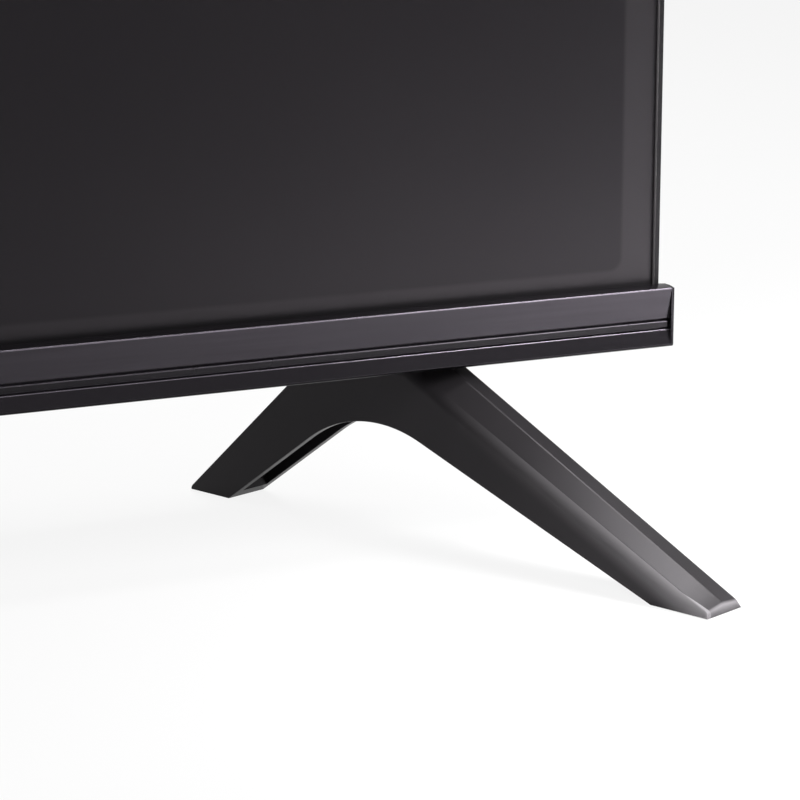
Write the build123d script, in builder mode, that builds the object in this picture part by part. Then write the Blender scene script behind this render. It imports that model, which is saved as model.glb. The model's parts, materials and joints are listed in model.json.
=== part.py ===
from build123d import *
from math import cos, radians, sin, tan
import os

os.makedirs("parts", exist_ok=True)

# A flat television standing on two splayed feet.
# X runs along the screen, the viewer looks along +Y and Z is up.
# The origin is on the floor, in the middle of the outer box of the set.

# Screen
active_width = 941.2
active_height = 529.4
side_border = 9.7
top_border = 7.5
bottom_border = 5.4

# Front frame
lip_width = 2.7
lip_thickness = 1.2
frame_wall = 1.2
frame_depth = 16.0
frame_corner = 2.0
lip_tuck = 6.0

# Chin bar with its trough and strip
chin_clearance = 55.0
chin_height = 18.0
chin_overhang = 2.3
chin_proud = 5.5
chin_depth = 8.0
chin_crown = 0.45
chin_edge_flat = 0.3
chin_edge_radius = 0.9
chin_wall = 1.4
chin_floor = 1.4
end_wall = 1.0
trough_depth = 1.3
upper_face_height = 9.4
lower_face_height = 5.2
groove_height = 0.75
groove_depth = 1.4
strip_proud = 0.4
strip_end_gap = 0.6
strip_corner = 0.25
tab_count = 7
tab_width = 12.0
tab_height = 2.0
tab_reach = 2.2

# Layers of the panel, from the glass to the steel tray
glass_gap = 0.2
glass_thickness = 1.4
edge_clearance = 0.3
ledge_thickness = 2.0
ledge_width = 11.0
skirt_wall = 1.5
film_thickness = 0.4
plate_thickness = 1.5
tray_sheet = 0.8
tray_depth = 21.0
tray_slope = 40.0
flange_width = 12.0
reflector_sheet_thickness = 0.4
reflector_gap = 0.15

# Backlight
light_rows = 5
light_columns = 9
row_pitch = 100.0
column_pitch = 102.0
light_board_height = 14.0
light_board_thickness = 1.0
light_board_margin = 24.0
lens_radius = 7.5
lens_height = 4.5
lens_round = 2.5
lens_clearance = 1.0

# Rear cover
cover_wall = 2.2
slab_depth = 42.0
slab_slope = 40.0
body_depth = 80.0
hump_side_margin = 40.6
hump_top_margin = 70.0
hump_top_slant = 46.0
hump_side_slant = 26.0
hump_slant_depth = 30.0
rim_lip = 4.0
rim_lip_wall = 1.2
notch_depth = 70.0
port_notch_low = 130.0
port_notch_high = 305.0
inlet_notch_low = 170.0
inlet_notch_high = 240.0
vent_length = 34.0
vent_height = 3.0
vent_pitch = 7.0
vent_column_pitch = 44.0
vent_rows = 5
vent_columns = 10
vent_height_on_hump = 325.0
overrun = 2.0

# Wall mounting points, 200 x 200
vesa_spacing = 200.0
vesa_height = 260.0
vesa_post_radius = 6.0
vesa_foot_radius = 10.0
vesa_foot_thickness = 2.0
vesa_hole_radius = 2.5
vesa_hole_depth = 20.0
post_clearance = 0.4

# Rear cover screws
screw_radius = 1.5
screw_head_radius = 2.9
screw_head_height = 1.8
screw_seat_depth = 9.0
boss_radius = 4.2
boss_reach = 14.0
head_clearance = 0.5
shank_clearance = 0.1
top_screw_count = 4
top_screw_pitch = 270.0
side_screw_heights = (420.0, 520.0)

# Circuit boards
board_thickness = 1.6
standoff_height = 10.0
standoff_radius = 3.0
standoff_hole_radius = 1.4
board_screw_radius = 1.3
board_screw_head_radius = 2.7
board_screw_head_height = 1.5
board_hole_inset = 6.0
board_post_gap = 20.0
main_board_left = vesa_spacing / 2 + board_post_gap
main_board_low = 128.0
main_board_high = 308.0
power_board_right = vesa_spacing / 2 + board_post_gap
power_board_low = 128.0
power_board_high = 308.0

# Main board parts
processor_size = 24.0
processor_height = 1.6
processor_in = 95.0
memory_size = 11.0
memory_height = 1.1
memory_pitch = 26.0
sink_size = 56.0
sink_base = 3.0
sink_height = 14.0
fin_count = 9
fin_thickness = 1.6

# Sockets on the side of the main board
panel_thickness = 1.6
panel_margin = 4.0
panel_window_height = 17.0
port_window_margin = 4.4
socket_setback = 1.0
socket_clearance = 0.3
socket_wall = 0.5
hdmi_width = 15.0
hdmi_height = 6.2
hdmi_length = 12.0
hdmi_tongue = 1.2
usb_width = 14.5
usb_height = 7.2
usb_length = 14.0
usb_tongue = 1.8
tongue_setback = 1.2
tongue_side_gap = 1.0
lan_width = 16.0
lan_height = 13.4
lan_length = 18.0
lan_mouth_width = 11.8
lan_mouth_height = 8.4
lan_mouth_depth = 14.0
aerial_body = 13.0
aerial_length = 12.0
aerial_barrel_radius = 4.7
aerial_barrel_length = 9.0
aerial_bore_radius = 2.6
audio_body = 9.0
audio_length = 13.0
audio_bore_radius = 1.8
audio_bore_depth = 11.0
hdmi_heights = (287.0, 263.0, 239.0)
usb_heights = (219.0, 201.0)
lan_socket_height = 181.0
aerial_socket_height = 160.0
audio_socket_height = 145.0

# Power board parts
transformer_width = 42.0
transformer_height = 36.0
transformer_depth = 24.0
transformer_flange = 7.0
transformer_waist = 7.0
capacitor_radius = 9.0
capacitor_length = 27.0
capacitor_edge = 1.0
capacitor_count = 3
capacitor_pitch = 24.0
power_sink_width = 70.0
power_sink_thickness = 4.0
power_sink_depth = 25.0
inlet_width = 25.0
inlet_height = 17.0
inlet_length = 20.0
inlet_flange = 2.5
inlet_flange_thickness = 1.5
inlet_mouth_width = 17.0
inlet_mouth_height = 9.0
inlet_mouth_depth = 14.0
inlet_pin_radius = 1.2
inlet_pin_pitch = 8.6
inlet_pin_length = 11.0
inlet_pin_root = 3.0

# Speakers firing down
speaker_offset = 200.0
speaker_width = 150.0
speaker_height = 50.0
speaker_depth = 36.0
speaker_wall = 2.0
speaker_lift = 1.5
speaker_back_gap = 1.5
cone_radius = 14.0
cone_depth = 7.0
cone_wall = 0.8
coil_radius = 6.5
coil_length = 4.0
cone_clearance = 0.35
cone_travel = 1.0
magnet_radius = 13.0
magnet_thickness = 8.0
magnet_groove_depth = 6.0
magnet_groove_wall = 0.7
grille_slots = 15
grille_slot_width = 3.0
grille_slot_length = 26.0
grille_pitch = 7.0

# Sensor pod under the middle of the chin, with the power button
pod_width = 46.0
pod_depth = 27.0
pod_height = 8.5
pod_wall = 1.3
pod_corner = 3.0
pod_setback = 1.5
lens_window_width = 26.0
lens_window_height = 4.0
lens_window_thickness = 1.0
pod_board_thickness = 1.0
pod_board_gap = 0.8
switch_size = 6.0
switch_height = 1.7
plunger_radius = 1.2
plunger_height = 0.6
plunger_root = 0.5
plunger_clearance = 0.15
button_radius = 4.5
button_flange_radius = 5.6
button_flange_thickness = 0.7
button_proud = 0.8
button_clearance = 0.3
button_travel = 0.5

# Feet, each a hollow bridge of two legs, open underneath
foot_splay = 21.7
foot_inset = 78.3
foot_width = 16.0
foot_front_reach = 97.1
foot_rear_reach = 106.8
front_pad_length = 19.5
rear_pad_length = 16.9
front_leg_angle = 25.8
front_arch_angle = 20.2
rear_leg_angle = 42.2
rear_arch_angle = 35.6
arch_radius = 49.0
tip_height = 2.4
heel_height = 1.3
crest_rise = 3.0
crest_rise_at_tip = 0.5
crest_share = 0.5
outer_edge_inset = 1.6
outer_edge_fall = 0.5
outer_chamfer_height = 2.2
foot_wall = 2.8
toe_solid = 4.0
tongue_front = 28.0
tongue_rear = 45.0
tongue_height = 12.0
tongue_clearance = 0.4
pad_height = 1.4
pad_proud = 0.2
pad_margin = 2.6
pad_clearance = 0.1
foot_screw_radius = 2.0
foot_screw_head_radius = 3.6
foot_screw_head_height = 2.4
foot_screw_pitch = 9.0
foot_screw_grip = 5.0
foot_screw_clearance = 0.15

# Steel brackets that hold the feet
bracket_width = 46.0
bracket_sheet = 2.5
bracket_front = 22.0
bracket_rise = 60.0
bracket_nut_radius = 4.5
bracket_nut_height = 4.0
bracket_screw_radius = 1.5
bracket_screw_head_radius = 3.0
bracket_screw_head_height = 1.6
bracket_screw_spacing = 30.0
bracket_screw_drop = 10.0

# Wireless module on the main board
wireless_width = 34.0
wireless_height = 18.0
wireless_lift = 3.0
wireless_board = 1.0
wireless_can = 1.8
wireless_margin = 4.0

# Leads
ribbon_thickness = 0.5
ribbon_width = 40.0
ribbon_place = 315.0
lead_radius = 1.2
lead_bend = 6.0
lead_gap = 0.4
strap_thickness = 1.2
strap_width = 12.0
harness_drop = 42.0
source_board_width = 400.0
source_board_depth = 9.0
source_board_thickness = 1.0
flex_count = 4
flex_width = 28.0
flex_thickness = 0.25

# Sizes that follow from the ones above
frame_width = active_width + 2 * (side_border + lip_width)
chin_width = frame_width + 2 * chin_overhang
chin_top = chin_clearance + chin_height
active_bottom = chin_top + bottom_border
frame_top = active_bottom + active_height + top_border + lip_width
frame_bottom = chin_clearance + chin_floor
frame_height = frame_top - frame_bottom
frame_middle = (frame_top + frame_bottom) / 2
foot_reach_difference = (foot_front_reach - foot_rear_reach) * cos(radians(foot_splay))
front_plane = (foot_reach_difference - foot_width * sin(radians(foot_splay))) / 2
frame_front = front_plane + chin_proud
frame_back = frame_front + frame_depth
glass_front = frame_front + lip_thickness + glass_gap
glass_back = glass_front + glass_thickness
ledge_back = glass_back + ledge_thickness
prism_back = ledge_back + film_thickness
diffusion_back = prism_back + film_thickness
plate_back = diffusion_back + plate_thickness
flange_back = plate_back + tray_sheet
tray_floor = plate_back + tray_depth
tray_back = tray_floor + tray_sheet
glass_width = frame_width - 2 * (frame_wall + edge_clearance)
glass_bottom = chin_top - lip_tuck - edge_clearance - frame_wall
glass_top = frame_top - frame_wall - edge_clearance
glass_height = glass_top - glass_bottom
glass_middle = (glass_top + glass_bottom) / 2
film_width = glass_width - 2 * (skirt_wall + edge_clearance)
film_height = glass_height - 2 * (skirt_wall + edge_clearance)
tray_width = glass_width - 2 * flange_width
tray_height = glass_height - 2 * flange_width
light_board_front = tray_floor - light_board_thickness
slab_back = front_plane + slab_depth
body_back = front_plane + body_depth
board_front = tray_back + standoff_height
board_back = board_front + board_thickness
hump_width = active_width - 2 * hump_side_margin
hump_top = vesa_height + vesa_spacing / 2 + hump_top_margin
port_wall = hump_width / 2 - notch_depth
panel_front = port_wall - cover_wall
board_side = panel_front - panel_thickness - edge_clearance
socket_mouth = port_wall - socket_setback
tongue_middle = -(tongue_front + tongue_rear) / 2
tongue_length = tongue_rear - tongue_front
tongue_width = foot_width - 2 * foot_wall

FROM_FRONT = (Align.CENTER, Align.MIN, Align.MIN)
FROM_LOW_LEFT = (Align.MIN, Align.MIN, Align.MIN)


def at_depth(y):
    """The plane of a front view at depth y, with X to the right and Z up."""
    return Plane.XZ.offset(-y)


def foot_plane(side):
    """The plane of a foot's inner face, with its first axis towards the front tip."""
    splay = radians(foot_splay)
    start = (side * (chin_width / 2 - foot_inset), front_plane, 0)
    forward = (side * sin(splay), -cos(splay), 0)
    return Plane(origin=start, x_dir=forward, z_dir=(-cos(splay), -side * sin(splay), 0))


def foot_top_plane(side, height):
    """A level plane over a foot, with its first axis towards the front tip."""
    splay = radians(foot_splay)
    start = (side * (chin_width / 2 - foot_inset), front_plane, height)
    return Plane(origin=start, x_dir=(side * sin(splay), -cos(splay), 0), z_dir=(0, 0, 1))


def light_places():
    """The middle of each light, in the plane of a front view."""
    row_heights = [glass_middle + row_pitch * (row - (light_rows - 1) / 2) for row in range(light_rows)]
    column_places = [column_pitch * (column - (light_columns - 1) / 2) for column in range(light_columns)]
    return [(place, height) for height in row_heights for place in column_places]


# Front frame, a slim lip with a side wall all round
opening_bottom = chin_top - lip_tuck
opening_top = frame_top - lip_width
opening_width = frame_width - 2 * lip_width

with BuildPart() as bezel_frame:
    with BuildSketch(at_depth(frame_front)):
        with Locations((0, frame_middle)):
            RectangleRounded(frame_width, frame_height, frame_corner)
    extrude(amount=-frame_depth)
    with BuildSketch(at_depth(frame_front + lip_thickness)):
        with Locations((0, frame_middle)):
            Rectangle(frame_width - 2 * frame_wall, frame_height - 2 * frame_wall)
    extrude(amount=-(frame_depth - lip_thickness + overrun), mode=Mode.SUBTRACT)
    with BuildSketch(at_depth(frame_front - overrun)):
        with Locations((0, (opening_top + opening_bottom) / 2)):
            Rectangle(opening_width, opening_top - opening_bottom)
    extrude(amount=-(lip_thickness + 2 * overrun), mode=Mode.SUBTRACT)
    tab_slot_width = tab_width + 2 * edge_clearance
    tab_slot_height = tab_height + 2 * edge_clearance
    tab_middle = frame_bottom + frame_wall + lip_tuck / 2
    with BuildSketch(at_depth(frame_front - overrun)):
        with Locations((0, tab_middle)):
            with GridLocations(frame_width / tab_count, 0, tab_count, 1):
                Rectangle(tab_slot_width, tab_slot_height)
    extrude(amount=-(lip_thickness + 2 * overrun), mode=Mode.SUBTRACT)
bezel_frame.part.label = "bezel_frame"
export_step(bezel_frame.part, "parts/bezel_frame.step")


# Chin bar, a shallow trough closed by a thin wall at each end
trough_length = chin_width - 2 * end_wall
strip_height = chin_height - upper_face_height - lower_face_height - 2 * groove_height
pocket_low = chin_clearance + lower_face_height
pocket_high = chin_top - upper_face_height
trough_back = front_plane + trough_depth
groove_back = trough_back + groove_depth
hollow_top = chin_top - chin_wall
hollow_bottom = pocket_high + chin_wall

with BuildPart() as chin_bar:
    with BuildSketch(Plane.YZ) as chin_section:
        with BuildLine():
            top_front = (front_plane, chin_top)
            top_middle = (front_plane + chin_depth / 2, chin_top + chin_crown)
            top_back = (front_plane + chin_depth, chin_top)
            low_back = (front_plane + chin_depth, chin_clearance)
            low_front = (front_plane, chin_clearance)
            ThreePointArc(top_front, top_middle, top_back)
            Polyline(top_back, low_back, low_front, top_front)
        make_face()
        fillet(chin_section.vertices().sort_by_distance(low_front)[0], chin_edge_radius)
    extrude(amount=chin_width / 2, both=True)
    with BuildSketch(Plane.YZ):
        with BuildLine():
            Polyline(
                (front_plane - overrun, chin_top - chin_edge_flat),
                (front_plane, chin_top - chin_edge_flat),
                (trough_back, pocket_high),
                (groove_back, pocket_high),
                (groove_back, pocket_low),
                (trough_back, pocket_low),
                (front_plane, chin_clearance + chin_edge_radius),
                (front_plane - overrun, chin_clearance + chin_edge_radius),
                close=True,
            )
        make_face()
    extrude(amount=trough_length / 2, both=True, mode=Mode.SUBTRACT)
    with BuildSketch(Plane.YZ):
        with BuildLine():
            Polyline(
                (front_plane + chin_wall + chin_edge_flat, hollow_top),
                (trough_back + chin_wall, hollow_bottom),
                (front_plane + chin_depth + overrun, hollow_bottom),
                (front_plane + chin_depth + overrun, hollow_top),
                close=True,
            )
        make_face()
    extrude(amount=opening_width / 2, both=True, mode=Mode.SUBTRACT)
    seat_width = frame_width + 2 * edge_clearance
    with Locations((0, frame_front, frame_bottom)):
        Box(seat_width, chin_depth, chin_height + overrun, align=FROM_FRONT, mode=Mode.SUBTRACT)
    tab_low = tab_middle - tab_height / 2
    with Locations((0, frame_front, tab_low)):
        with GridLocations(frame_width / tab_count, 0, tab_count, 1):
            Box(tab_width, tab_reach, tab_height, align=FROM_FRONT)
chin_bar.part.label = "chin_bar"
export_step(chin_bar.part, "parts/chin_bar.step")


# Strip along the middle of the trough, between two dark grooves
with BuildPart() as chin_accent_strip:
    strip_length = trough_length - 2 * strip_end_gap
    strip_depth = groove_depth + strip_proud
    with Locations((0, groove_back - strip_depth, pocket_low + groove_height)):
        Box(strip_length, strip_depth, strip_height, align=FROM_FRONT)
    fillet(chin_accent_strip.faces().sort_by(Axis.Y)[0].edges(), strip_corner)
chin_accent_strip.part.label = "chin_accent_strip"
export_step(chin_accent_strip.part, "parts/chin_accent_strip.step")


# Panel glass
with BuildPart() as lcd_cell:
    with Locations((0, glass_front, glass_bottom)):
        Box(glass_width, glass_thickness, glass_height, align=FROM_FRONT)
lcd_cell.part.label = "lcd_cell"
export_step(lcd_cell.part, "parts/lcd_cell.step")


# Middle frame, a ledge behind the glass with a skirt round the films
with BuildPart() as middle_frame:
    with BuildSketch(at_depth(glass_back)):
        with Locations((0, glass_middle)):
            Rectangle(glass_width, glass_height)
            Rectangle(glass_width - 2 * ledge_width, glass_height - 2 * ledge_width, mode=Mode.SUBTRACT)
    extrude(amount=-ledge_thickness)
    with BuildSketch(at_depth(ledge_back)):
        with Locations((0, glass_middle)):
            Rectangle(glass_width, glass_height)
            Rectangle(glass_width - 2 * skirt_wall, glass_height - 2 * skirt_wall, mode=Mode.SUBTRACT)
    extrude(amount=-(plate_back - ledge_back))
middle_frame.part.label = "middle_frame"
export_step(middle_frame.part, "parts/middle_frame.step")


# Films and the diffuser plate inside the skirt
film_bottom = glass_middle - film_height / 2

with BuildPart() as prism_film:
    with Locations((0, ledge_back, film_bottom)):
        Box(film_width, film_thickness, film_height, align=FROM_FRONT)
prism_film.part.label = "prism_film"
export_step(prism_film.part, "parts/prism_film.step")

with BuildPart() as diffusion_film:
    with Locations((0, prism_back, film_bottom)):
        Box(film_width, film_thickness, film_height, align=FROM_FRONT)
diffusion_film.part.label = "diffusion_film"
export_step(diffusion_film.part, "parts/diffusion_film.step")

with BuildPart() as diffuser_plate:
    with Locations((0, diffusion_back, film_bottom)):
        Box(film_width, plate_thickness, film_height, align=FROM_FRONT)
diffuser_plate.part.label = "diffuser_plate"
export_step(diffuser_plate.part, "parts/diffuser_plate.step")


# Steel tray behind the backlight
def bracket_screw_places():
    """The middle of each bracket screw, in the plane of a front view."""
    height = frame_bottom + tongue_height + bracket_rise - bracket_screw_drop
    root = foot_top_plane(1, 0).from_local_coords((tongue_middle, foot_width / 2, 0))
    return [
        (side * root.X + across * bracket_screw_spacing / 2, height) for side in (-1, 1) for across in (-1, 1)
    ]


lead_hole_width = strap_width + 2 * edge_clearance
lead_hole_height = strap_thickness + 2 * lead_gap
side_screw_place = glass_width / 2 - flange_width / 2
top_screw_height = glass_top - flange_width / 2
backlight_lead_place = -(power_board_right + notch_depth)

with BuildPart() as back_chassis:
    with BuildSketch(at_depth(plate_back)):
        with Locations((0, glass_middle)):
            Rectangle(glass_width, glass_height)
    extrude(amount=-tray_sheet)
    with BuildSketch(at_depth(plate_back)):
        with Locations((0, glass_middle)):
            Rectangle(tray_width, tray_height)
    extrude(amount=-(tray_depth + tray_sheet), taper=tray_slope)
    with BuildSketch(at_depth(plate_back)):
        with Locations((0, glass_middle)):
            Rectangle(tray_width - 2 * tray_sheet, tray_height - 2 * tray_sheet)
    extrude(amount=-tray_depth, taper=tray_slope, mode=Mode.SUBTRACT)
    with BuildSketch(at_depth(tray_floor - overrun)):
        with Locations((backlight_lead_place, glass_middle)):
            Rectangle(lead_hole_width, lead_hole_height)
    extrude(amount=-(tray_sheet + 2 * overrun), mode=Mode.SUBTRACT)
    with BuildSketch(at_depth(plate_back - overrun)):
        with Locations((0, top_screw_height)):
            with GridLocations(top_screw_pitch, 0, top_screw_count, 1):
                Circle(screw_radius + shank_clearance)
        for height in side_screw_heights:
            with Locations((0, height)):
                with GridLocations(2 * side_screw_place, 0, 2, 1):
                    Circle(screw_radius + shank_clearance)
    extrude(amount=-(tray_sheet + 2 * overrun), mode=Mode.SUBTRACT)
    with BuildSketch(at_depth(tray_floor - overrun)):
        with Locations(*bracket_screw_places()):
            Circle(bracket_screw_radius + shank_clearance)
    extrude(amount=-(tray_sheet + 2 * overrun), mode=Mode.SUBTRACT)
back_chassis.part.label = "back_chassis"
export_step(back_chassis.part, "parts/back_chassis.step")


# White reflector that lines the tray, with a hole for each light
liner_width = tray_width - 2 * (tray_sheet + reflector_gap)
liner_height = tray_height - 2 * (tray_sheet + reflector_gap)
liner_floor = light_board_front - plate_back

with BuildPart() as reflector_sheet:
    with BuildSketch(at_depth(plate_back)):
        with Locations((0, glass_middle)):
            Rectangle(liner_width, liner_height)
    extrude(amount=-liner_floor, taper=tray_slope)
    with BuildSketch(at_depth(plate_back)):
        with Locations((0, glass_middle)):
            Rectangle(
                liner_width - 2 * reflector_sheet_thickness,
                liner_height - 2 * reflector_sheet_thickness,
            )
    extrude(amount=-(liner_floor - reflector_sheet_thickness), taper=tray_slope, mode=Mode.SUBTRACT)
    with BuildSketch(at_depth(light_board_front - overrun)):
        with Locations(*light_places()):
            Circle(lens_radius + lens_clearance)
    extrude(amount=-2 * overrun, mode=Mode.SUBTRACT)
reflector_sheet.part.label = "reflector_sheet"
export_step(reflector_sheet.part, "parts/reflector_sheet.step")


# Light bars and their lenses
with BuildPart() as light_bars:
    light_board_width = (light_columns - 1) * column_pitch + 2 * light_board_margin
    for row in range(light_rows):
        row_height = glass_middle + row_pitch * (row - (light_rows - 1) / 2)
        with Locations((0, light_board_front, row_height - light_board_height / 2)):
            Box(light_board_width, light_board_thickness, light_board_height, align=FROM_FRONT)
light_bars.part.label = "light_bars"
export_step(light_bars.part, "parts/light_bars.step")

with BuildPart() as light_lenses:
    with BuildSketch(at_depth(light_board_front)):
        with Locations(*light_places()):
            Circle(lens_radius)
    extrude(amount=lens_height)
    fillet(light_lenses.faces().group_by(Axis.Y)[0].edges(), lens_round)
light_lenses.part.label = "light_lenses"
export_step(light_lenses.part, "parts/light_lenses.step")


# Boards along the lower edge of the glass, with the flexes that join them
source_board_low = frame_bottom + frame_wall + edge_clearance
source_board_top = source_board_low + source_board_thickness
source_board_place = source_board_width / 2 + flex_width

with BuildPart() as source_boards:
    with Locations((0, glass_back, source_board_low)):
        with GridLocations(2 * source_board_place, 0, 2, 1):
            Box(source_board_width, source_board_depth, source_board_thickness, align=FROM_FRONT)
source_boards.part.label = "source_boards"
export_step(source_boards.part, "parts/source_boards.step")

with BuildPart() as glass_flexes:
    flex_back = glass_back + source_board_depth / 2
    for side in (-1, 1):
        with Locations((side * source_board_place, glass_back - flex_thickness, source_board_top)):
            with GridLocations(source_board_width / flex_count, 0, flex_count, 1):
                Box(flex_width, flex_thickness, glass_bottom - source_board_top, align=FROM_FRONT)
                Box(flex_width, flex_back - glass_back, flex_thickness, align=FROM_FRONT)
glass_flexes.part.label = "glass_flexes"
export_step(glass_flexes.part, "parts/glass_flexes.step")


# Rear cover, a sloped slab with a deeper hump below
def cover_form(inset):
    """The outer form of the rear cover, drawn in by inset on every side but the front."""
    low = frame_bottom + inset
    high = frame_top - inset
    back = body_back - inset
    hump_high = hump_top - inset
    hump_wide = hump_width - 2 * inset
    with BuildPart() as form:
        with BuildSketch(at_depth(frame_back)):
            with Locations((0, (low + high) / 2)):
                Rectangle(frame_width - 2 * inset, high - low)
        extrude(amount=-(slab_back - inset - frame_back), taper=slab_slope)
        with BuildPart(mode=Mode.PRIVATE) as hump:
            with Locations((0, frame_back, low)):
                Box(hump_wide, back - frame_back, hump_high - low, align=FROM_FRONT)
            back_face = hump.faces().sort_by(Axis.Y)[-1]
            top_edge = back_face.edges().sort_by(Axis.Z)[-1]
            chamfer(top_edge, hump_top_slant, hump_slant_depth, reference=back_face)
            back_face = hump.faces().filter_by(Axis.Y).sort_by(Axis.Y)[-1]
            side_edges = back_face.edges().filter_by(Axis.Z)
            chamfer(side_edges, hump_side_slant, hump_slant_depth, reference=back_face)
        add(hump.part)
        notch_floor = slab_back - inset
        notch_wall = port_wall - inset
        for side, notch_low, notch_high in (
            (1, port_notch_low, port_notch_high),
            (-1, inlet_notch_low, inlet_notch_high),
        ):
            notch_width = hump_width / 2 - notch_wall + overrun
            notch_height = notch_high - notch_low + 2 * inset
            notch_middle = side * (notch_wall + notch_width / 2)
            with Locations((notch_middle, notch_floor, notch_low - inset)):
                Box(notch_width, body_depth, notch_height, align=FROM_FRONT, mode=Mode.SUBTRACT)
    return form.part


pod_front = front_plane + pod_setback
lead_slot_length = 2 * (lead_radius + lead_gap)
lead_place = frame_back + cover_wall + lead_radius
rim_width = frame_width - 2 * (frame_wall + edge_clearance)
rim_height = frame_height - 2 * (frame_wall + edge_clearance)
grille_middle = body_back - cover_wall - speaker_back_gap - speaker_depth / 2
side_screws = [(side * side_screw_place, height) for side in (-1, 1) for height in side_screw_heights]
top_screws = [
    (top_screw_pitch * (count - (top_screw_count - 1) / 2), top_screw_height)
    for count in range(top_screw_count)
]
cover_screw_places = side_screws + top_screws
screw_seat = flange_back + screw_seat_depth
window_low = board_back

with BuildPart() as rear_cover:
    add(cover_form(0))
    add(cover_form(cover_wall), mode=Mode.SUBTRACT)
    with BuildPart(mode=Mode.PRIVATE) as bosses:
        with BuildSketch(at_depth(flange_back)):
            with Locations(*cover_screw_places):
                Circle(boss_radius)
        extrude(amount=-boss_reach)
        add(cover_form(0), mode=Mode.INTERSECT)
    add(bosses.part)
    with BuildSketch(at_depth(flange_back)):
        with Locations(*cover_screw_places):
            Circle(boss_radius)
    extrude(amount=-(frame_back - flange_back))
    with BuildSketch(at_depth(frame_back - rim_lip)):
        with Locations((0, frame_middle)):
            Rectangle(rim_width, rim_height)
            Rectangle(rim_width - 2 * rim_lip_wall, rim_height - 2 * rim_lip_wall, mode=Mode.SUBTRACT)
    extrude(amount=-(rim_lip + cover_wall / 2))
    with BuildSketch(at_depth(flange_back - overrun)):
        with Locations(*cover_screw_places):
            Circle(screw_radius + shank_clearance)
    extrude(amount=-(screw_seat_depth + 2 * overrun), mode=Mode.SUBTRACT)
    with BuildSketch(at_depth(screw_seat)):
        with Locations(*cover_screw_places):
            Circle(screw_head_radius + head_clearance)
    extrude(amount=-slab_depth, mode=Mode.SUBTRACT)
    with BuildSketch(at_depth(tray_back)):
        with Locations((0, vesa_height)):
            with GridLocations(vesa_spacing, vesa_spacing, 2, 2):
                Circle(vesa_post_radius + post_clearance)
    extrude(amount=-body_depth, mode=Mode.SUBTRACT)
    with BuildSketch(at_depth(body_back - cover_wall - overrun)):
        with Locations((0, vent_height_on_hump)):
            with GridLocations(vent_column_pitch, vent_pitch, vent_columns, vent_rows):
                SlotOverall(vent_length, vent_height)
    extrude(amount=-(cover_wall + 2 * overrun), mode=Mode.SUBTRACT)
    with BuildSketch(Plane.XY.offset(frame_bottom - overrun)):
        for side in (-1, 1):
            with Locations((side * speaker_offset, grille_middle)):
                with GridLocations(grille_pitch, 0, grille_slots, 1):
                    SlotOverall(grille_slot_length, grille_slot_width, rotation=90)
        with Locations((0, lead_place)):
            Rectangle(lead_slot_length, lead_slot_length)
    extrude(amount=cover_wall + 2 * overrun, mode=Mode.SUBTRACT)
    for side in (-1, 1):
        with BuildSketch(foot_top_plane(side, frame_bottom - overrun)):
            with Locations((tongue_middle, side * foot_width / 2)):
                Rectangle(tongue_length + 2 * tongue_clearance, tongue_width + 2 * tongue_clearance)
        extrude(amount=cover_wall + 2 * overrun, mode=Mode.SUBTRACT)
    port_window_length = port_notch_high - port_notch_low - 2 * port_window_margin
    port_window_low = port_notch_low + port_window_margin
    with Locations((port_wall - cover_wall - overrun, window_low, port_window_low)):
        Box(
            cover_wall + 2 * overrun,
            panel_window_height,
            port_window_length,
            align=FROM_LOW_LEFT,
            mode=Mode.SUBTRACT,
        )
    inlet_middle = (inlet_notch_low + inlet_notch_high) / 2
    with Locations((-port_wall - overrun, board_back, inlet_middle - inlet_width / 2 - socket_clearance)):
        Box(
            cover_wall + 2 * overrun,
            inlet_height + 2 * socket_clearance,
            inlet_width + 2 * socket_clearance,
            align=FROM_LOW_LEFT,
            mode=Mode.SUBTRACT,
        )
rear_cover.part.label = "rear_cover"
export_step(rear_cover.part, "parts/rear_cover.step")


with BuildPart() as rear_cover_screws:
    with BuildSketch(at_depth(screw_seat)):
        with Locations(*cover_screw_places):
            Circle(screw_head_radius)
    extrude(amount=-screw_head_height)
    with BuildSketch(at_depth(plate_back + edge_clearance)):
        with Locations(*cover_screw_places):
            Circle(screw_radius)
    extrude(amount=-(screw_seat - plate_back - edge_clearance))
    with BuildSketch(at_depth(screw_seat + screw_head_height - screw_radius / 2)):
        with Locations(*cover_screw_places):
            Rectangle(screw_head_radius, screw_radius / 2)
            Rectangle(screw_radius / 2, screw_head_radius)
    extrude(amount=-screw_head_height, mode=Mode.SUBTRACT)
rear_cover_screws.part.label = "rear_cover_screws"
export_step(rear_cover_screws.part, "parts/rear_cover_screws.step")


# Threaded posts for a wall mount, flush with the back of the cover
with BuildPart() as vesa_posts:
    with BuildSketch(at_depth(tray_back)):
        with Locations((0, vesa_height)):
            with GridLocations(vesa_spacing, vesa_spacing, 2, 2):
                Circle(vesa_foot_radius)
    extrude(amount=-vesa_foot_thickness)
    with BuildSketch(at_depth(tray_back)):
        with Locations((0, vesa_height)):
            with GridLocations(vesa_spacing, vesa_spacing, 2, 2):
                Circle(vesa_post_radius)
    extrude(amount=-(body_back - tray_back))
    with BuildSketch(at_depth(body_back - vesa_hole_depth)):
        with Locations((0, vesa_height)):
            with GridLocations(vesa_spacing, vesa_spacing, 2, 2):
                Circle(vesa_hole_radius)
    extrude(amount=-(vesa_hole_depth + overrun), mode=Mode.SUBTRACT)
vesa_posts.part.label = "vesa_posts"
export_step(vesa_posts.part, "parts/vesa_posts.step")


# Main board and power board on standoffs behind the tray
board_width = board_side - main_board_left
main_board_middle = main_board_left + board_width / 2
power_board_middle = -(power_board_right + board_width / 2)
main_board_height = main_board_high - main_board_low
power_board_height = power_board_high - power_board_low


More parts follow.
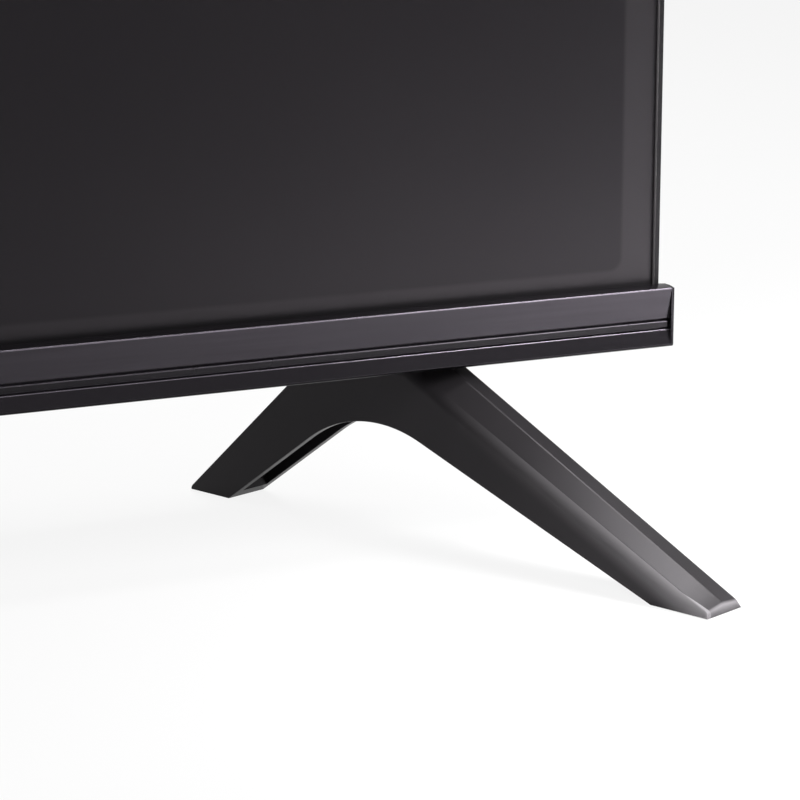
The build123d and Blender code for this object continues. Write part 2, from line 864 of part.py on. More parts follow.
def board_holes():
    """The middle of each board screw, in the plane of a front view."""
    return [
        (
            middle + across * (board_width / 2 - board_hole_inset),
            low + height / 2 + along * (height / 2 - board_hole_inset),
        )
        for middle, low, height in (
            (main_board_middle, main_board_low, main_board_height),
            (power_board_middle, power_board_low, power_board_height),
        )
        for across in (-1, 1)
        for along in (-1, 1)
    ]


def circuit_board(middle, low, height):
    """A board with a hole near each corner."""
    with BuildPart() as board:
        with Locations((middle, board_front, low)):
            Box(board_width, board_thickness, height, align=FROM_FRONT)
        with BuildSketch(at_depth(board_front - overrun)):
            with Locations(*board_holes()):
                Circle(standoff_hole_radius)
        extrude(amount=-(board_thickness + 2 * overrun), mode=Mode.SUBTRACT)
    return board


main_board = circuit_board(main_board_middle, main_board_low, main_board_height)
main_board.part.label = "main_board"
export_step(main_board.part, "parts/main_board.step")

power_board = circuit_board(power_board_middle, power_board_low, power_board_height)
power_board.part.label = "power_board"
export_step(power_board.part, "parts/power_board.step")

with BuildPart() as board_standoffs:
    with BuildSketch(at_depth(tray_back)):
        with Locations(*board_holes()):
            Circle(standoff_radius)
            Circle(standoff_hole_radius, mode=Mode.SUBTRACT)
    extrude(amount=-standoff_height)
board_standoffs.part.label = "board_standoffs"
export_step(board_standoffs.part, "parts/board_standoffs.step")

with BuildPart() as board_screws:
    with BuildSketch(at_depth(board_back)):
        with Locations(*board_holes()):
            Circle(board_screw_head_radius)
    extrude(amount=-board_screw_head_height)
    with BuildSketch(at_depth(board_back)):
        with Locations(*board_holes()):
            Circle(board_screw_radius)
    extrude(amount=board_thickness + standoff_height / 2)
board_screws.part.label = "board_screws"
export_step(board_screws.part, "parts/board_screws.step")


# Processor and memory under their heat sink
processor_place = main_board_left + processor_in
processor_height_on_board = (main_board_low + main_board_high) / 2

with BuildPart() as processor_chips:
    with Locations((processor_place, board_back, processor_height_on_board - processor_size / 2)):
        Box(processor_size, processor_height, processor_size, align=FROM_FRONT)
    with Locations((processor_place - memory_pitch, board_back, processor_height_on_board - memory_size / 2)):
        Box(memory_size, memory_height, memory_size, align=FROM_FRONT)
        with Locations((0, 0, memory_pitch)):
            Box(memory_size, memory_height, memory_size, align=FROM_FRONT)
processor_chips.part.label = "processor_chips"
export_step(processor_chips.part, "parts/processor_chips.step")

with BuildPart() as heat_sink:
    sink_front = board_back + processor_height
    sink_low = processor_height_on_board - sink_size / 2
    with Locations((processor_place, sink_front, sink_low)):
        Box(sink_size, sink_base, sink_size, align=FROM_FRONT)
    with Locations((processor_place, sink_front, sink_low)):
        with GridLocations((sink_size - fin_thickness) / (fin_count - 1), 0, fin_count, 1):
            Box(fin_thickness, sink_height, sink_size, align=FROM_FRONT)
heat_sink.part.label = "heat_sink"
export_step(heat_sink.part, "parts/heat_sink.step")


# Wireless module, a small board on its socket
with BuildPart() as wireless_module:
    wireless_place = main_board_left + wireless_width
    wireless_low = main_board_low + board_hole_inset + wireless_margin
    with Locations((wireless_place, board_back, wireless_low)):
        Box(wireless_width / 2, wireless_lift, wireless_height / 2, align=FROM_FRONT)
    with Locations((wireless_place, board_back + wireless_lift, wireless_low)):
        Box(wireless_width, wireless_board, wireless_height, align=FROM_FRONT)
    can_front = board_back + wireless_lift + wireless_board
    with Locations((wireless_place, can_front, wireless_low + wireless_margin / 2)):
        can_width = wireless_width - 2 * wireless_margin
        Box(can_width, wireless_can, wireless_height - wireless_margin, align=FROM_FRONT)
wireless_module.part.label = "wireless_module"
export_step(wireless_module.part, "parts/wireless_module.step")


# Sockets along the side of the main board, their mouths facing +X
def socket_box(length, height, width, middle_height):
    """A block on the board that ends at the socket mouths."""
    with Locations((socket_mouth - length, board_back, middle_height - width / 2)):
        Box(length, height, width, align=FROM_LOW_LEFT)


def socket_mouth_cut(depth, front, height, width, middle_height):
    """A rectangular recess from the mouths, its front face at depth front."""
    with Locations((socket_mouth - depth, front, middle_height - width / 2)):
        Box(depth + overrun, height, width, align=FROM_LOW_LEFT, mode=Mode.SUBTRACT)


def tongue(length, depth_in, middle_depth, thickness, width, middle_height):
    """A contact blade inside a socket."""
    with Locations((socket_mouth - length, middle_depth - thickness / 2, middle_height - width / 2)):
        Box(length - depth_in, thickness, width, align=FROM_LOW_LEFT)


with BuildPart() as hdmi_sockets:
    for place in hdmi_heights:
        socket_box(hdmi_length, hdmi_height, hdmi_width, place)
        socket_mouth_cut(
            hdmi_length - 2 * socket_wall,
            board_back + socket_wall,
            hdmi_height - 2 * socket_wall,
            hdmi_width - 2 * socket_wall,
            place,
        )
        tongue(
            hdmi_length,
            tongue_setback,
            board_back + hdmi_height / 2,
            hdmi_tongue,
            hdmi_width - 2 * (socket_wall + tongue_side_gap),
            place,
        )
hdmi_sockets.part.label = "hdmi_sockets"
export_step(hdmi_sockets.part, "parts/hdmi_sockets.step")

with BuildPart() as usb_sockets:
    for place in usb_heights:
        socket_box(usb_length, usb_height, usb_width, place)
        socket_mouth_cut(
            usb_length - 2 * socket_wall,
            board_back + socket_wall,
            usb_height - 2 * socket_wall,
            usb_width - 2 * socket_wall,
            place,
        )
        tongue(
            usb_length,
            tongue_setback,
            board_back + usb_height - socket_wall - usb_tongue,
            usb_tongue,
            usb_width - 2 * (socket_wall + tongue_side_gap),
            place,
        )
usb_sockets.part.label = "usb_sockets"
export_step(usb_sockets.part, "parts/usb_sockets.step")

with BuildPart() as lan_socket:
    socket_box(lan_length, lan_height, lan_width, lan_socket_height)
    socket_mouth_cut(
        lan_mouth_depth,
        board_back + (lan_height - lan_mouth_height) / 2,
        lan_mouth_height,
        lan_mouth_width,
        lan_socket_height,
    )
lan_socket.part.label = "lan_socket"
export_step(lan_socket.part, "parts/lan_socket.step")

with BuildPart() as aerial_socket:
    socket_box(aerial_length, aerial_body, aerial_body, aerial_socket_height)
    with BuildSketch(Plane.YZ.offset(socket_mouth)):
        with Locations((board_back + aerial_body / 2, aerial_socket_height)):
            Circle(aerial_barrel_radius)
    extrude(amount=aerial_barrel_length)
    with BuildSketch(Plane.YZ.offset(socket_mouth)):
        with Locations((board_back + aerial_body / 2, aerial_socket_height)):
            Circle(aerial_bore_radius)
    extrude(amount=aerial_barrel_length + overrun, mode=Mode.SUBTRACT)
aerial_socket.part.label = "aerial_socket"
export_step(aerial_socket.part, "parts/aerial_socket.step")

with BuildPart() as audio_socket:
    socket_box(audio_length, audio_body, audio_body, audio_socket_height)
    with BuildSketch(Plane.YZ.offset(socket_mouth - audio_bore_depth)):
        with Locations((board_back + audio_body / 2, audio_socket_height)):
            Circle(audio_bore_radius)
    extrude(amount=audio_bore_depth + overrun, mode=Mode.SUBTRACT)
audio_socket.part.label = "audio_socket"
export_step(audio_socket.part, "parts/audio_socket.step")


# Plate that fills the window round the sockets
with BuildPart() as port_panel:
    panel_low = port_window_low - panel_margin
    panel_length = port_window_length + 2 * panel_margin
    panel_depth = panel_window_height + panel_margin
    with Locations((panel_front - panel_thickness, board_back + socket_clearance, panel_low)):
        Box(panel_thickness, panel_depth, panel_length, align=FROM_LOW_LEFT)
    for places, height, width in (
        (hdmi_heights, hdmi_height, hdmi_width),
        (usb_heights, usb_height, usb_width),
        ((lan_socket_height,), lan_height, lan_width),
        ((aerial_socket_height,), aerial_body, aerial_body),
        ((audio_socket_height,), audio_body, audio_body),
    ):
        for place in places:
            cut_low = place - width / 2 - socket_clearance
            with Locations((panel_front - panel_thickness - overrun, board_back, cut_low)):
                Box(
                    panel_thickness + 2 * overrun,
                    height + socket_clearance,
                    width + 2 * socket_clearance,
                    align=FROM_LOW_LEFT,
                    mode=Mode.SUBTRACT,
                )
port_panel.part.label = "port_panel"
export_step(port_panel.part, "parts/port_panel.step")


# Power board parts
transformer_place = power_board_middle - transformer_width / 2
transformer_low = power_board_low + 2 * board_hole_inset + transformer_height
capacitor_height_on_board = power_board_high - 2 * board_hole_inset - capacitor_radius

with BuildPart() as power_transformer:
    with Locations((transformer_place, board_back, transformer_low)):
        Box(transformer_width, transformer_depth, transformer_height, align=FROM_FRONT)
    winding_front = board_back + transformer_flange
    winding_depth = transformer_depth - 2 * transformer_flange
    for side in (-1, 1):
        groove_place = transformer_place + side * (transformer_width - transformer_waist) / 2
        with Locations((groove_place, winding_front, transformer_low)):
            Box(transformer_waist, winding_depth, transformer_height, align=FROM_FRONT, mode=Mode.SUBTRACT)
power_transformer.part.label = "power_transformer"
export_step(power_transformer.part, "parts/power_transformer.step")

with BuildPart() as power_capacitors:
    with BuildSketch(at_depth(board_back)):
        with Locations((power_board_middle, capacitor_height_on_board)):
            with GridLocations(capacitor_pitch, 0, capacitor_count, 1):
                Circle(capacitor_radius)
    extrude(amount=-capacitor_length)
    fillet(power_capacitors.faces().group_by(Axis.Y)[-1].edges(), capacitor_edge)
power_capacitors.part.label = "power_capacitors"
export_step(power_capacitors.part, "parts/power_capacitors.step")

with BuildPart() as power_heat_sink:
    power_sink_place = power_board_middle + transformer_width
    with Locations((power_sink_place, board_back, transformer_low)):
        Box(power_sink_thickness, power_sink_depth, power_sink_width, align=FROM_FRONT)
        Box(power_sink_depth, power_sink_thickness, power_sink_width, align=FROM_FRONT)
power_heat_sink.part.label = "power_heat_sink"
export_step(power_heat_sink.part, "parts/power_heat_sink.step")


# Mains inlet for a figure-eight plug, its mouth facing -X
inlet_mouth = -(port_wall - socket_setback)
inlet_depth_middle = board_back + inlet_height / 2

with BuildPart() as ac_inlet:
    with Locations((inlet_mouth, board_back + socket_clearance, inlet_middle - inlet_width / 2)):
        Box(inlet_length, inlet_height, inlet_width, align=FROM_LOW_LEFT)
    flange_width_all = inlet_width + 2 * inlet_flange
    with Locations((-panel_front, board_back + socket_clearance, inlet_middle - flange_width_all / 2)):
        Box(inlet_flange_thickness, inlet_height + inlet_flange, flange_width_all, align=FROM_LOW_LEFT)
    with BuildSketch(Plane.YZ.offset(inlet_mouth - overrun)):
        with Locations((inlet_depth_middle + socket_clearance, inlet_middle)):
            SlotOverall(inlet_mouth_width, inlet_mouth_height, rotation=90)
    extrude(amount=inlet_mouth_depth + overrun, mode=Mode.SUBTRACT)
    with BuildSketch(Plane.YZ.offset(inlet_mouth)):
        with Locations((inlet_depth_middle + socket_clearance, inlet_middle)):
            with GridLocations(0, inlet_pin_pitch, 1, 2):
                Circle(inlet_pin_radius)
    extrude(amount=inlet_length, mode=Mode.SUBTRACT)
ac_inlet.part.label = "ac_inlet"
export_step(ac_inlet.part, "parts/ac_inlet.step")

with BuildPart() as ac_inlet_pins:
    with BuildSketch(Plane.YZ.offset(inlet_mouth + inlet_mouth_depth - inlet_pin_length)):
        with Locations((inlet_depth_middle + socket_clearance, inlet_middle)):
            with GridLocations(0, inlet_pin_pitch, 1, 2):
                Circle(inlet_pin_radius)
    extrude(amount=inlet_pin_length + inlet_pin_root)
ac_inlet_pins.part.label = "ac_inlet_pins"
export_step(ac_inlet_pins.part, "parts/ac_inlet_pins.step")


# Speakers, each a sealed box with a cone that fires down through the grille
box_back = body_back - cover_wall - speaker_back_gap
box_front = box_back - speaker_depth
box_low = frame_bottom + cover_wall + speaker_lift
cone_hole_radius = cone_radius + cone_clearance
cone_middle = (box_front + box_back) / 2
cone_back = box_low + speaker_wall / 2 + cone_depth + cone_wall
magnet_low = cone_back + cone_travel + edge_clearance


def speaker_box(side):
    """A hollow enclosure with a round hole underneath."""
    with BuildPart() as box:
        with Locations((side * speaker_offset, box_front, box_low)):
            Box(speaker_width, speaker_depth, speaker_height, align=FROM_FRONT)
        with Locations((side * speaker_offset, box_front + speaker_wall, box_low + speaker_wall)):
            Box(
                speaker_width - 2 * speaker_wall,
                speaker_depth - 2 * speaker_wall,
                speaker_height - 2 * speaker_wall,
                align=FROM_FRONT,
                mode=Mode.SUBTRACT,
            )
        with BuildSketch(Plane.XY.offset(box_low - overrun)):
            with Locations((side * speaker_offset, cone_middle)):
                Circle(cone_hole_radius)
        extrude(amount=speaker_wall + 2 * overrun, mode=Mode.SUBTRACT)
        with BuildSketch(Plane.XY.offset(magnet_low)):
            with Locations((side * speaker_offset, cone_middle)):
                Rectangle(speaker_width - 2 * speaker_wall, speaker_wall)
        extrude(amount=speaker_wall)
        with BuildSketch(Plane.XY.offset(magnet_low)):
            with Locations((side * speaker_offset, cone_middle)):
                Circle(magnet_radius)
        extrude(amount=magnet_thickness, mode=Mode.SUBTRACT)
    return box


def speaker_cone(side):
    """A thin cone with the tube of its voice coil."""
    middle = Plane(origin=(side * speaker_offset, cone_middle, box_low + speaker_wall / 2), z_dir=(0, 0, 1))
    with BuildPart(middle) as cone:
        with BuildSketch(Plane(origin=middle.origin, x_dir=(1, 0, 0), z_dir=(0, -1, 0))):
            with BuildLine():
                Polyline(
                    (coil_radius - cone_wall, cone_depth),
                    (cone_radius, 0),
                    (cone_radius, cone_wall),
                    (coil_radius, cone_depth + cone_wall),
                    (coil_radius, cone_depth + coil_length),
                    (coil_radius - cone_wall, cone_depth + coil_length),
                    close=True,
                )
            make_face()
            with BuildLine():
                Polyline(
                    (0, cone_depth - cone_wall),
                    (coil_radius, cone_depth - cone_wall),
                    (coil_radius, cone_depth),
                    (0, cone_depth),
                    close=True,
                )
            make_face()
        revolve(axis=Axis(middle.origin, (0, 0, 1)))
    return cone


for side, side_name in ((-1, "left"), (1, "right")):
    box = speaker_box(side)
    box.part.label = f"speaker_box_{side_name}"
    export_step(box.part, f"parts/speaker_box_{side_name}.step")
    cone = speaker_cone(side)
    cone.part.label = f"speaker_cone_{side_name}"
    export_step(cone.part, f"parts/speaker_cone_{side_name}.step")

with BuildPart() as speaker_magnets:
    with BuildSketch(Plane.XY.offset(magnet_low)):
        with GridLocations(2 * speaker_offset, 0, 2, 1):
            with Locations((0, cone_middle)):
                Circle(magnet_radius)
    extrude(amount=magnet_thickness)
    with BuildSketch(Plane.XY.offset(magnet_low - overrun)):
        with GridLocations(2 * speaker_offset, 0, 2, 1):
            with Locations((0, cone_middle)):
                Circle(coil_radius + magnet_groove_wall)
                Circle(coil_radius - cone_wall - magnet_groove_wall, mode=Mode.SUBTRACT)
    extrude(amount=magnet_groove_depth + overrun, mode=Mode.SUBTRACT)
speaker_magnets.part.label = "speaker_magnets"
export_step(speaker_magnets.part, "parts/speaker_magnets.step")


# Sensor pod with its window, board, switch and button
pod_low = frame_bottom - pod_height
pod_middle = pod_front + pod_depth / 2
button_place = (0, pod_front + pod_depth / 2)
board_low = chin_clearance - pod_board_gap - pod_board_thickness
switch_low = board_low - switch_height
button_top = switch_low - plunger_height

with BuildPart() as sensor_pod:
    with BuildSketch(Plane.XY.offset(pod_low)):
        with Locations((0, pod_middle)):
            RectangleRounded(pod_width, pod_depth, pod_corner)
    extrude(amount=pod_height)
    with BuildSketch(Plane.XY.offset(pod_low + pod_wall)):
        with Locations((0, pod_middle)):
            RectangleRounded(pod_width - 2 * pod_wall, pod_depth - 2 * pod_wall, pod_corner - pod_wall)
    extrude(amount=pod_height, mode=Mode.SUBTRACT)
    with Locations((0, front_plane - overrun, chin_clearance)):
        Box(
            pod_width + overrun,
            chin_depth + overrun + edge_clearance,
            pod_height,
            align=FROM_FRONT,
            mode=Mode.SUBTRACT,
        )
    window_middle_height = (pod_low + chin_clearance) / 2
    with Locations((0, pod_front - overrun, window_middle_height - lens_window_height / 2)):
        Box(
            lens_window_width,
            pod_wall + 2 * overrun,
            lens_window_height,
            align=FROM_FRONT,
            mode=Mode.SUBTRACT,
        )
    with BuildSketch(Plane.XY.offset(pod_low - overrun)):
        with Locations(button_place):
            Circle(button_radius + button_clearance)
    extrude(amount=pod_wall + 2 * overrun, mode=Mode.SUBTRACT)
sensor_pod.part.label = "sensor_pod"
export_step(sensor_pod.part, "parts/sensor_pod.step")

with BuildPart() as sensor_window:
    with Locations((0, pod_front, window_middle_height - lens_window_height / 2)):
        Box(lens_window_width, lens_window_thickness, lens_window_height, align=FROM_FRONT)
sensor_window.part.label = "sensor_window"
export_step(sensor_window.part, "parts/sensor_window.step")

with BuildPart() as sensor_board:
    pod_board_width = pod_width - 2 * (pod_wall + edge_clearance)
    pod_board_depth = pod_depth - 2 * (pod_wall + edge_clearance)
    with BuildSketch(Plane.XY.offset(board_low)):
        with Locations((0, pod_middle)):
            RectangleRounded(pod_board_width, pod_board_depth, pod_corner - pod_wall)
    extrude(amount=pod_board_thickness)
sensor_board.part.label = "sensor_board"
export_step(sensor_board.part, "parts/sensor_board.step")

with BuildPart() as button_switch:
    with Locations((0, button_place[1] - switch_size / 2, switch_low)):
        Box(switch_size, switch_size, switch_height, align=FROM_FRONT)
    with BuildSketch(Plane.XY.offset(switch_low)):
        with Locations(button_place):
            Circle(plunger_radius + plunger_clearance)
    extrude(amount=plunger_root + button_travel + plunger_clearance, mode=Mode.SUBTRACT)
button_switch.part.label = "button_switch"
export_step(button_switch.part, "parts/button_switch.step")

with BuildPart() as switch_plunger:
    with BuildSketch(Plane.XY.offset(button_top)):
        with Locations(button_place):
            Circle(plunger_radius)
    extrude(amount=plunger_height + plunger_root)
switch_plunger.part.label = "switch_plunger"
export_step(switch_plunger.part, "parts/switch_plunger.step")

with BuildPart() as power_button:
    with BuildSketch(Plane.XY.offset(pod_low - button_proud)):
        with Locations(button_place):
            Circle(button_radius)
    extrude(amount=button_top - pod_low + button_proud)
    fillet(power_button.edges().group_by(Axis.Z)[0], button_clearance)
    with BuildSketch(Plane.XY.offset(pod_low + pod_wall + edge_clearance)):
        with Locations(button_place):
            Circle(button_flange_radius)
    extrude(amount=button_flange_thickness)
power_button.part.label = "power_button"
export_step(power_button.part, "parts/power_button.step")


# Feet, two legs that meet under the body, hollow from below
foot_top = frame_bottom
ridge_slope = tan(radians(front_leg_angle))
heel_slope = tan(radians(rear_leg_angle))
arch_front = foot_front_reach - front_pad_length
arch_rear = foot_rear_reach - rear_pad_length
front_arch_slope = tan(radians(front_arch_angle))
rear_arch_slope = tan(radians(rear_arch_angle))
apex_place = (arch_front * front_arch_slope - arch_rear * rear_arch_slope) / (
    front_arch_slope + rear_arch_slope
)
apex_height = (arch_front - apex_place) * front_arch_slope
ridge_at_start = tip_height + foot_front_reach * ridge_slope
ridge_place = (ridge_at_start - foot_top) / ridge_slope
heel_place = -foot_rear_reach + (foot_top - heel_height) / heel_slope
crest_at_start = ridge_at_start + crest_rise
crest_at_tip = tip_height + crest_rise_at_tip
crest_slope = (crest_at_start - crest_at_tip) / foot_front_reach
crest_place = (crest_at_start - foot_top) / crest_slope
hollow_ceiling = foot_top - 2 * foot_wall
ridge_wall = foot_wall / cos(radians(front_leg_angle))
heel_wall = foot_wall / cos(radians(rear_leg_angle))
screw_places = [tongue_middle - foot_screw_pitch / 2, tongue_middle + foot_screw_pitch / 2]
pad_base = pad_proud


def roof_points(along):
    """The outline of a foot's front leg across its width, at a distance along the foot."""
    ridge = ridge_at_start - along * ridge_slope
    crest = crest_at_start - along * crest_slope
    outer_edge = crest - outer_edge_fall
    return [
        (0, -overrun),
        (foot_width, -overrun),
        (foot_width, outer_edge - outer_chamfer_height),
        (foot_width - outer_edge_inset, outer_edge),
        (crest_share * foot_width, crest),
        (0, ridge),
    ]


def foot_roof(side):
    """The space under the roof-shaped top, which flattens towards the tip."""
    inner_face = foot_plane(side)
    outward = inner_face.z_dir * -side
    with BuildPart() as space:
        for along in (-foot_rear_reach - overrun, foot_front_reach + overrun):
            start = inner_face.from_local_coords((along, 0, 0))
            with BuildSketch(Plane(origin=start, x_dir=outward, z_dir=outward.cross(Vector(0, 0, 1)))):
                with BuildLine():
                    Polyline(*roof_points(along), close=True)
                make_face()
        loft(ruled=True)
    return space.part


def foot(side):
    """One foot: its side view, a roof-shaped top, the hollow and the tongue."""
    inner_face = foot_plane(side)
    floor_plane = foot_top_plane(side, 0)
    with BuildPart() as shell:
        with BuildSketch(inner_face) as side_view:
            with BuildLine():
                Polyline(
                    (-foot_rear_reach, pad_base),
                    (-arch_rear, pad_base),
                    (apex_place, apex_height),
                    (arch_front, pad_base),
                    (foot_front_reach, pad_base),
                    (foot_front_reach, crest_at_tip),
                    (crest_place, foot_top),
                    (heel_place, foot_top),
                    (-foot_rear_reach, heel_height),
                    close=True,
                )
            make_face()
            fillet(side_view.vertices().sort_by_distance((apex_place, apex_height))[0], arch_radius)
        extrude(amount=-side * foot_width)
        add(foot_roof(side), mode=Mode.INTERSECT)
        with BuildSketch(inner_face.offset(-side * foot_wall)):
            with BuildLine():
                hollow_rear = -arch_rear + toe_solid
                hollow_front = arch_front - toe_solid
                hollow_rear_top = heel_height + (hollow_rear + foot_rear_reach) * heel_slope - heel_wall
                Polyline(
                    (hollow_rear, -overrun),
                    (hollow_rear, hollow_rear_top),
                    (heel_place + (heel_wall - 2 * foot_wall) / heel_slope, hollow_ceiling),
                    (ridge_place + (2 * foot_wall - ridge_wall) / ridge_slope, hollow_ceiling),
                    (hollow_front, ridge_at_start - hollow_front * ridge_slope - ridge_wall),
                    (hollow_front, -overrun),
                    close=True,
                )
            make_face()
        extrude(amount=-side * (foot_width - 2 * foot_wall), mode=Mode.SUBTRACT)
        with BuildSketch(foot_top_plane(side, foot_top)):
            with Locations((tongue_middle, side * foot_width / 2)):
                Rectangle(tongue_length, tongue_width)
        extrude(amount=tongue_height)
        with BuildSketch(foot_top_plane(side, hollow_ceiling - overrun)):
            with Locations(*[(place, side * foot_width / 2) for place in screw_places]):
                Circle(foot_screw_radius + foot_screw_clearance)
        extrude(amount=foot_top + tongue_height - hollow_ceiling + 2 * overrun, mode=Mode.SUBTRACT)
        with BuildSketch(floor_plane):
            for middle, length in pad_places():
                with Locations((middle, side * foot_width / 2)):
                    Rectangle(length + 2 * pad_clearance, foot_width - 2 * pad_margin + 2 * pad_clearance)
        extrude(amount=pad_height, mode=Mode.SUBTRACT)
    return shell


def pad_places():
    """The middle and length of the two rubber pads of a foot."""
    return [
        (foot_front_reach - front_pad_length / 2, front_pad_length - 2 * pad_margin),
        (-foot_rear_reach + rear_pad_length / 2, rear_pad_length - 2 * pad_margin),
    ]


for side, side_name in ((-1, "left"), (1, "right")):
    shell = foot(side)
    shell.part.label = f"foot_{side_name}"
    export_step(shell.part, f"parts/foot_{side_name}.step")

with BuildPart() as foot_pads:
    for side in (-1, 1):
        with BuildSketch(foot_top_plane(side, 0)):
            for middle, length in pad_places():
                with Locations((middle, side * foot_width / 2)):
                    Rectangle(length, foot_width - 2 * pad_margin)
        extrude(amount=pad_height)
foot_pads.part.label = "foot_pads"
export_step(foot_pads.part, "parts/foot_pads.step")


# Brackets on the tray that the feet are screwed to
bracket_low = foot_top + tongue_height


def foot_bracket(side):
    """An angle of sheet steel with two nuts over the tongue of a foot."""
    root = foot_top_plane(side, bracket_low)
    middle = root.from_local_coords((tongue_middle, side * foot_width / 2, 0))
    with BuildPart() as bracket:
        shelf_front = middle.Y - bracket_front / 2 - bracket_sheet
        shelf_depth = tray_back + bracket_sheet - shelf_front
        with Locations((middle.X, shelf_front, bracket_low)):
            Box(bracket_width, shelf_depth + bracket_front / 2, bracket_sheet, align=FROM_FRONT)
        with Locations((middle.X, tray_back, bracket_low)):
            Box(bracket_width, bracket_sheet, bracket_rise, align=FROM_FRONT)
        with BuildSketch(foot_top_plane(side, bracket_low)):
            with Locations(*[(place, side * foot_width / 2) for place in screw_places]):
                Circle(bracket_nut_radius)
        extrude(amount=bracket_sheet + bracket_nut_height)
        with BuildSketch(foot_top_plane(side, bracket_low - overrun)):
            with Locations(*[(place, side * foot_width / 2) for place in screw_places]):
                Circle(foot_screw_radius + foot_screw_clearance)
        extrude(amount=bracket_sheet + bracket_nut_height + 2 * overrun, mode=Mode.SUBTRACT)
        with BuildSketch(at_depth(tray_back - overrun)):
            with Locations(*bracket_screw_places()):
                Circle(bracket_screw_radius + shank_clearance)
        extrude(amount=-(bracket_sheet + 2 * overrun), mode=Mode.SUBTRACT)
    return bracket


for side, side_name in ((-1, "left"), (1, "right")):
    bracket = foot_bracket(side)
    bracket.part.label = f"foot_bracket_{side_name}"
    export_step(bracket.part, f"parts/foot_bracket_{side_name}.step")

with BuildPart() as bracket_screws:
    bracket_face = tray_back + bracket_sheet
    with BuildSketch(at_depth(bracket_face)):
        with Locations(*bracket_screw_places()):
            Circle(bracket_screw_head_radius)
    extrude(amount=-bracket_screw_head_height)
    with BuildSketch(at_depth(tray_floor)):
        with Locations(*bracket_screw_places()):
            Circle(bracket_screw_radius)
    extrude(amount=-(bracket_face - tray_floor))
bracket_screws.part.label = "bracket_screws"
export_step(bracket_screws.part, "parts/bracket_screws.step")

with BuildPart() as foot_screws:
    for side in (-1, 1):
        with BuildSketch(foot_top_plane(side, hollow_ceiling - foot_screw_head_height)):
            with Locations(*[(place, side * foot_width / 2) for place in screw_places]):
                Circle(foot_screw_head_radius)
        extrude(amount=foot_screw_head_height)
        with BuildSketch(foot_top_plane(side, hollow_ceiling)):
            with Locations(*[(place, side * foot_width / 2) for place in screw_places]):
                Circle(foot_screw_radius)
        extrude(amount=bracket_low - hollow_ceiling + foot_screw_grip)
foot_screws.part.label = "foot_screws"
export_step(foot_screws.part, "parts/foot_screws.step")


# Leads between the boards, the light bars, the glass and the speakers
def flat_lead(plane, points, thickness, width):
    """A flat lead: a bent strip drawn edge on, then given its width."""
    with BuildPart() as lead:
        with BuildSketch(plane):
            with BuildLine() as path:
                Polyline(*points)
            trace(path.line, thickness)
        extrude(amount=width / 2, both=True)
    return lead


def round_lead(points):
    """A round lead along straight runs joined by arcs."""
    with BuildPart() as lead:
        with BuildLine() as path:
            FilletPolyline(*points, radius=lead_bend)
        with BuildSketch(Plane(origin=path.line @ 0, z_dir=path.line % 0)):
            Circle(lead_radius)
        sweep()
    return lead


source_lift = source_board_top + flex_thickness + ribbon_thickness
ribbon_back = tray_back + ribbon_thickness
board_top_face = board_back + ribbon_thickness / 2
ribbon_rise = source_lift + standoff_height

panel_ribbon = flat_lead(
    Plane.YZ.offset(ribbon_place),
    [
        (glass_back + source_board_depth - ribbon_thickness, source_lift - ribbon_thickness / 2),
        (tray_back, source_lift - ribbon_thickness / 2),
        (ribbon_back + lead_gap, ribbon_rise),
        (ribbon_back + lead_gap, main_board_low - 2 * standoff_height),
        (board_top_face, main_board_low - standoff_height / 2),
        (board_top_face, main_board_low + standoff_height / 2),
    ],
    ribbon_thickness,
    ribbon_width,
)
panel_ribbon.part.label = "panel_ribbon"
export_step(panel_ribbon.part, "parts/panel_ribbon.step")

strap_on_board = board_back + strap_thickness / 2
strap_on_tray = tray_back + strap_thickness / 2 + lead_gap
strap_slope = board_back - tray_back

power_harness = flat_lead(
    Plane.XY.offset(vesa_height - harness_drop),
    [
        (-(power_board_right + strap_width), strap_on_board),
        (-power_board_right + standoff_radius, strap_on_board),
        (-power_board_right + standoff_radius + strap_slope, strap_on_tray),
        (main_board_left - standoff_radius - strap_slope, strap_on_tray),
        (main_board_left - standoff_radius, strap_on_board),
        (main_board_left + strap_width, strap_on_board),
    ],
    strap_thickness,
    strap_width,
)
power_harness.part.label = "power_harness"
export_step(power_harness.part, "parts/power_harness.step")

backlight_lead = flat_lead(
    Plane.YZ.offset(backlight_lead_place),
    [
        (strap_on_board, power_board_high - strap_width),
        (strap_on_board, power_board_high + standoff_radius),
        (strap_on_tray, power_board_high + standoff_radius + strap_slope),
        (strap_on_tray, glass_middle),
        (tray_floor + lead_gap / 2, glass_middle),
    ],
    strap_thickness,
    strap_width,
)
backlight_lead.part.label = "backlight_lead"
export_step(backlight_lead.part, "parts/backlight_lead.step")

lead_on_tray = tray_back + lead_radius + lead_gap
lead_over = lead_on_tray + 2 * lead_radius + lead_gap
lead_on_board = board_back + lead_radius
lead_step = board_back - tray_back
box_top = box_low + speaker_height
board_start = main_board_left + board_hole_inset
lead_height = main_board_low + 2 * board_hole_inset
speaker_lead_height = main_board_low - lead_step / 2
run_left = main_board_left - standoff_radius
right_lead_place = speaker_offset + lead_step

button_lead = round_lead(
    [
        (0, lead_place, board_low + pod_board_thickness),
        (0, lead_place, frame_bottom + lead_step / 2),
        (0, lead_on_tray, frame_bottom + 2 * lead_step),
        (0, lead_on_tray, lead_height),
        (run_left - 2 * lead_step, lead_on_tray, lead_height),
        (run_left - lead_step / 2, lead_on_board, lead_height),
        (board_start + lead_step / 2, lead_on_board, lead_height),
    ]
)
button_lead.part.label = "button_lead"
export_step(button_lead.part, "parts/button_lead.step")

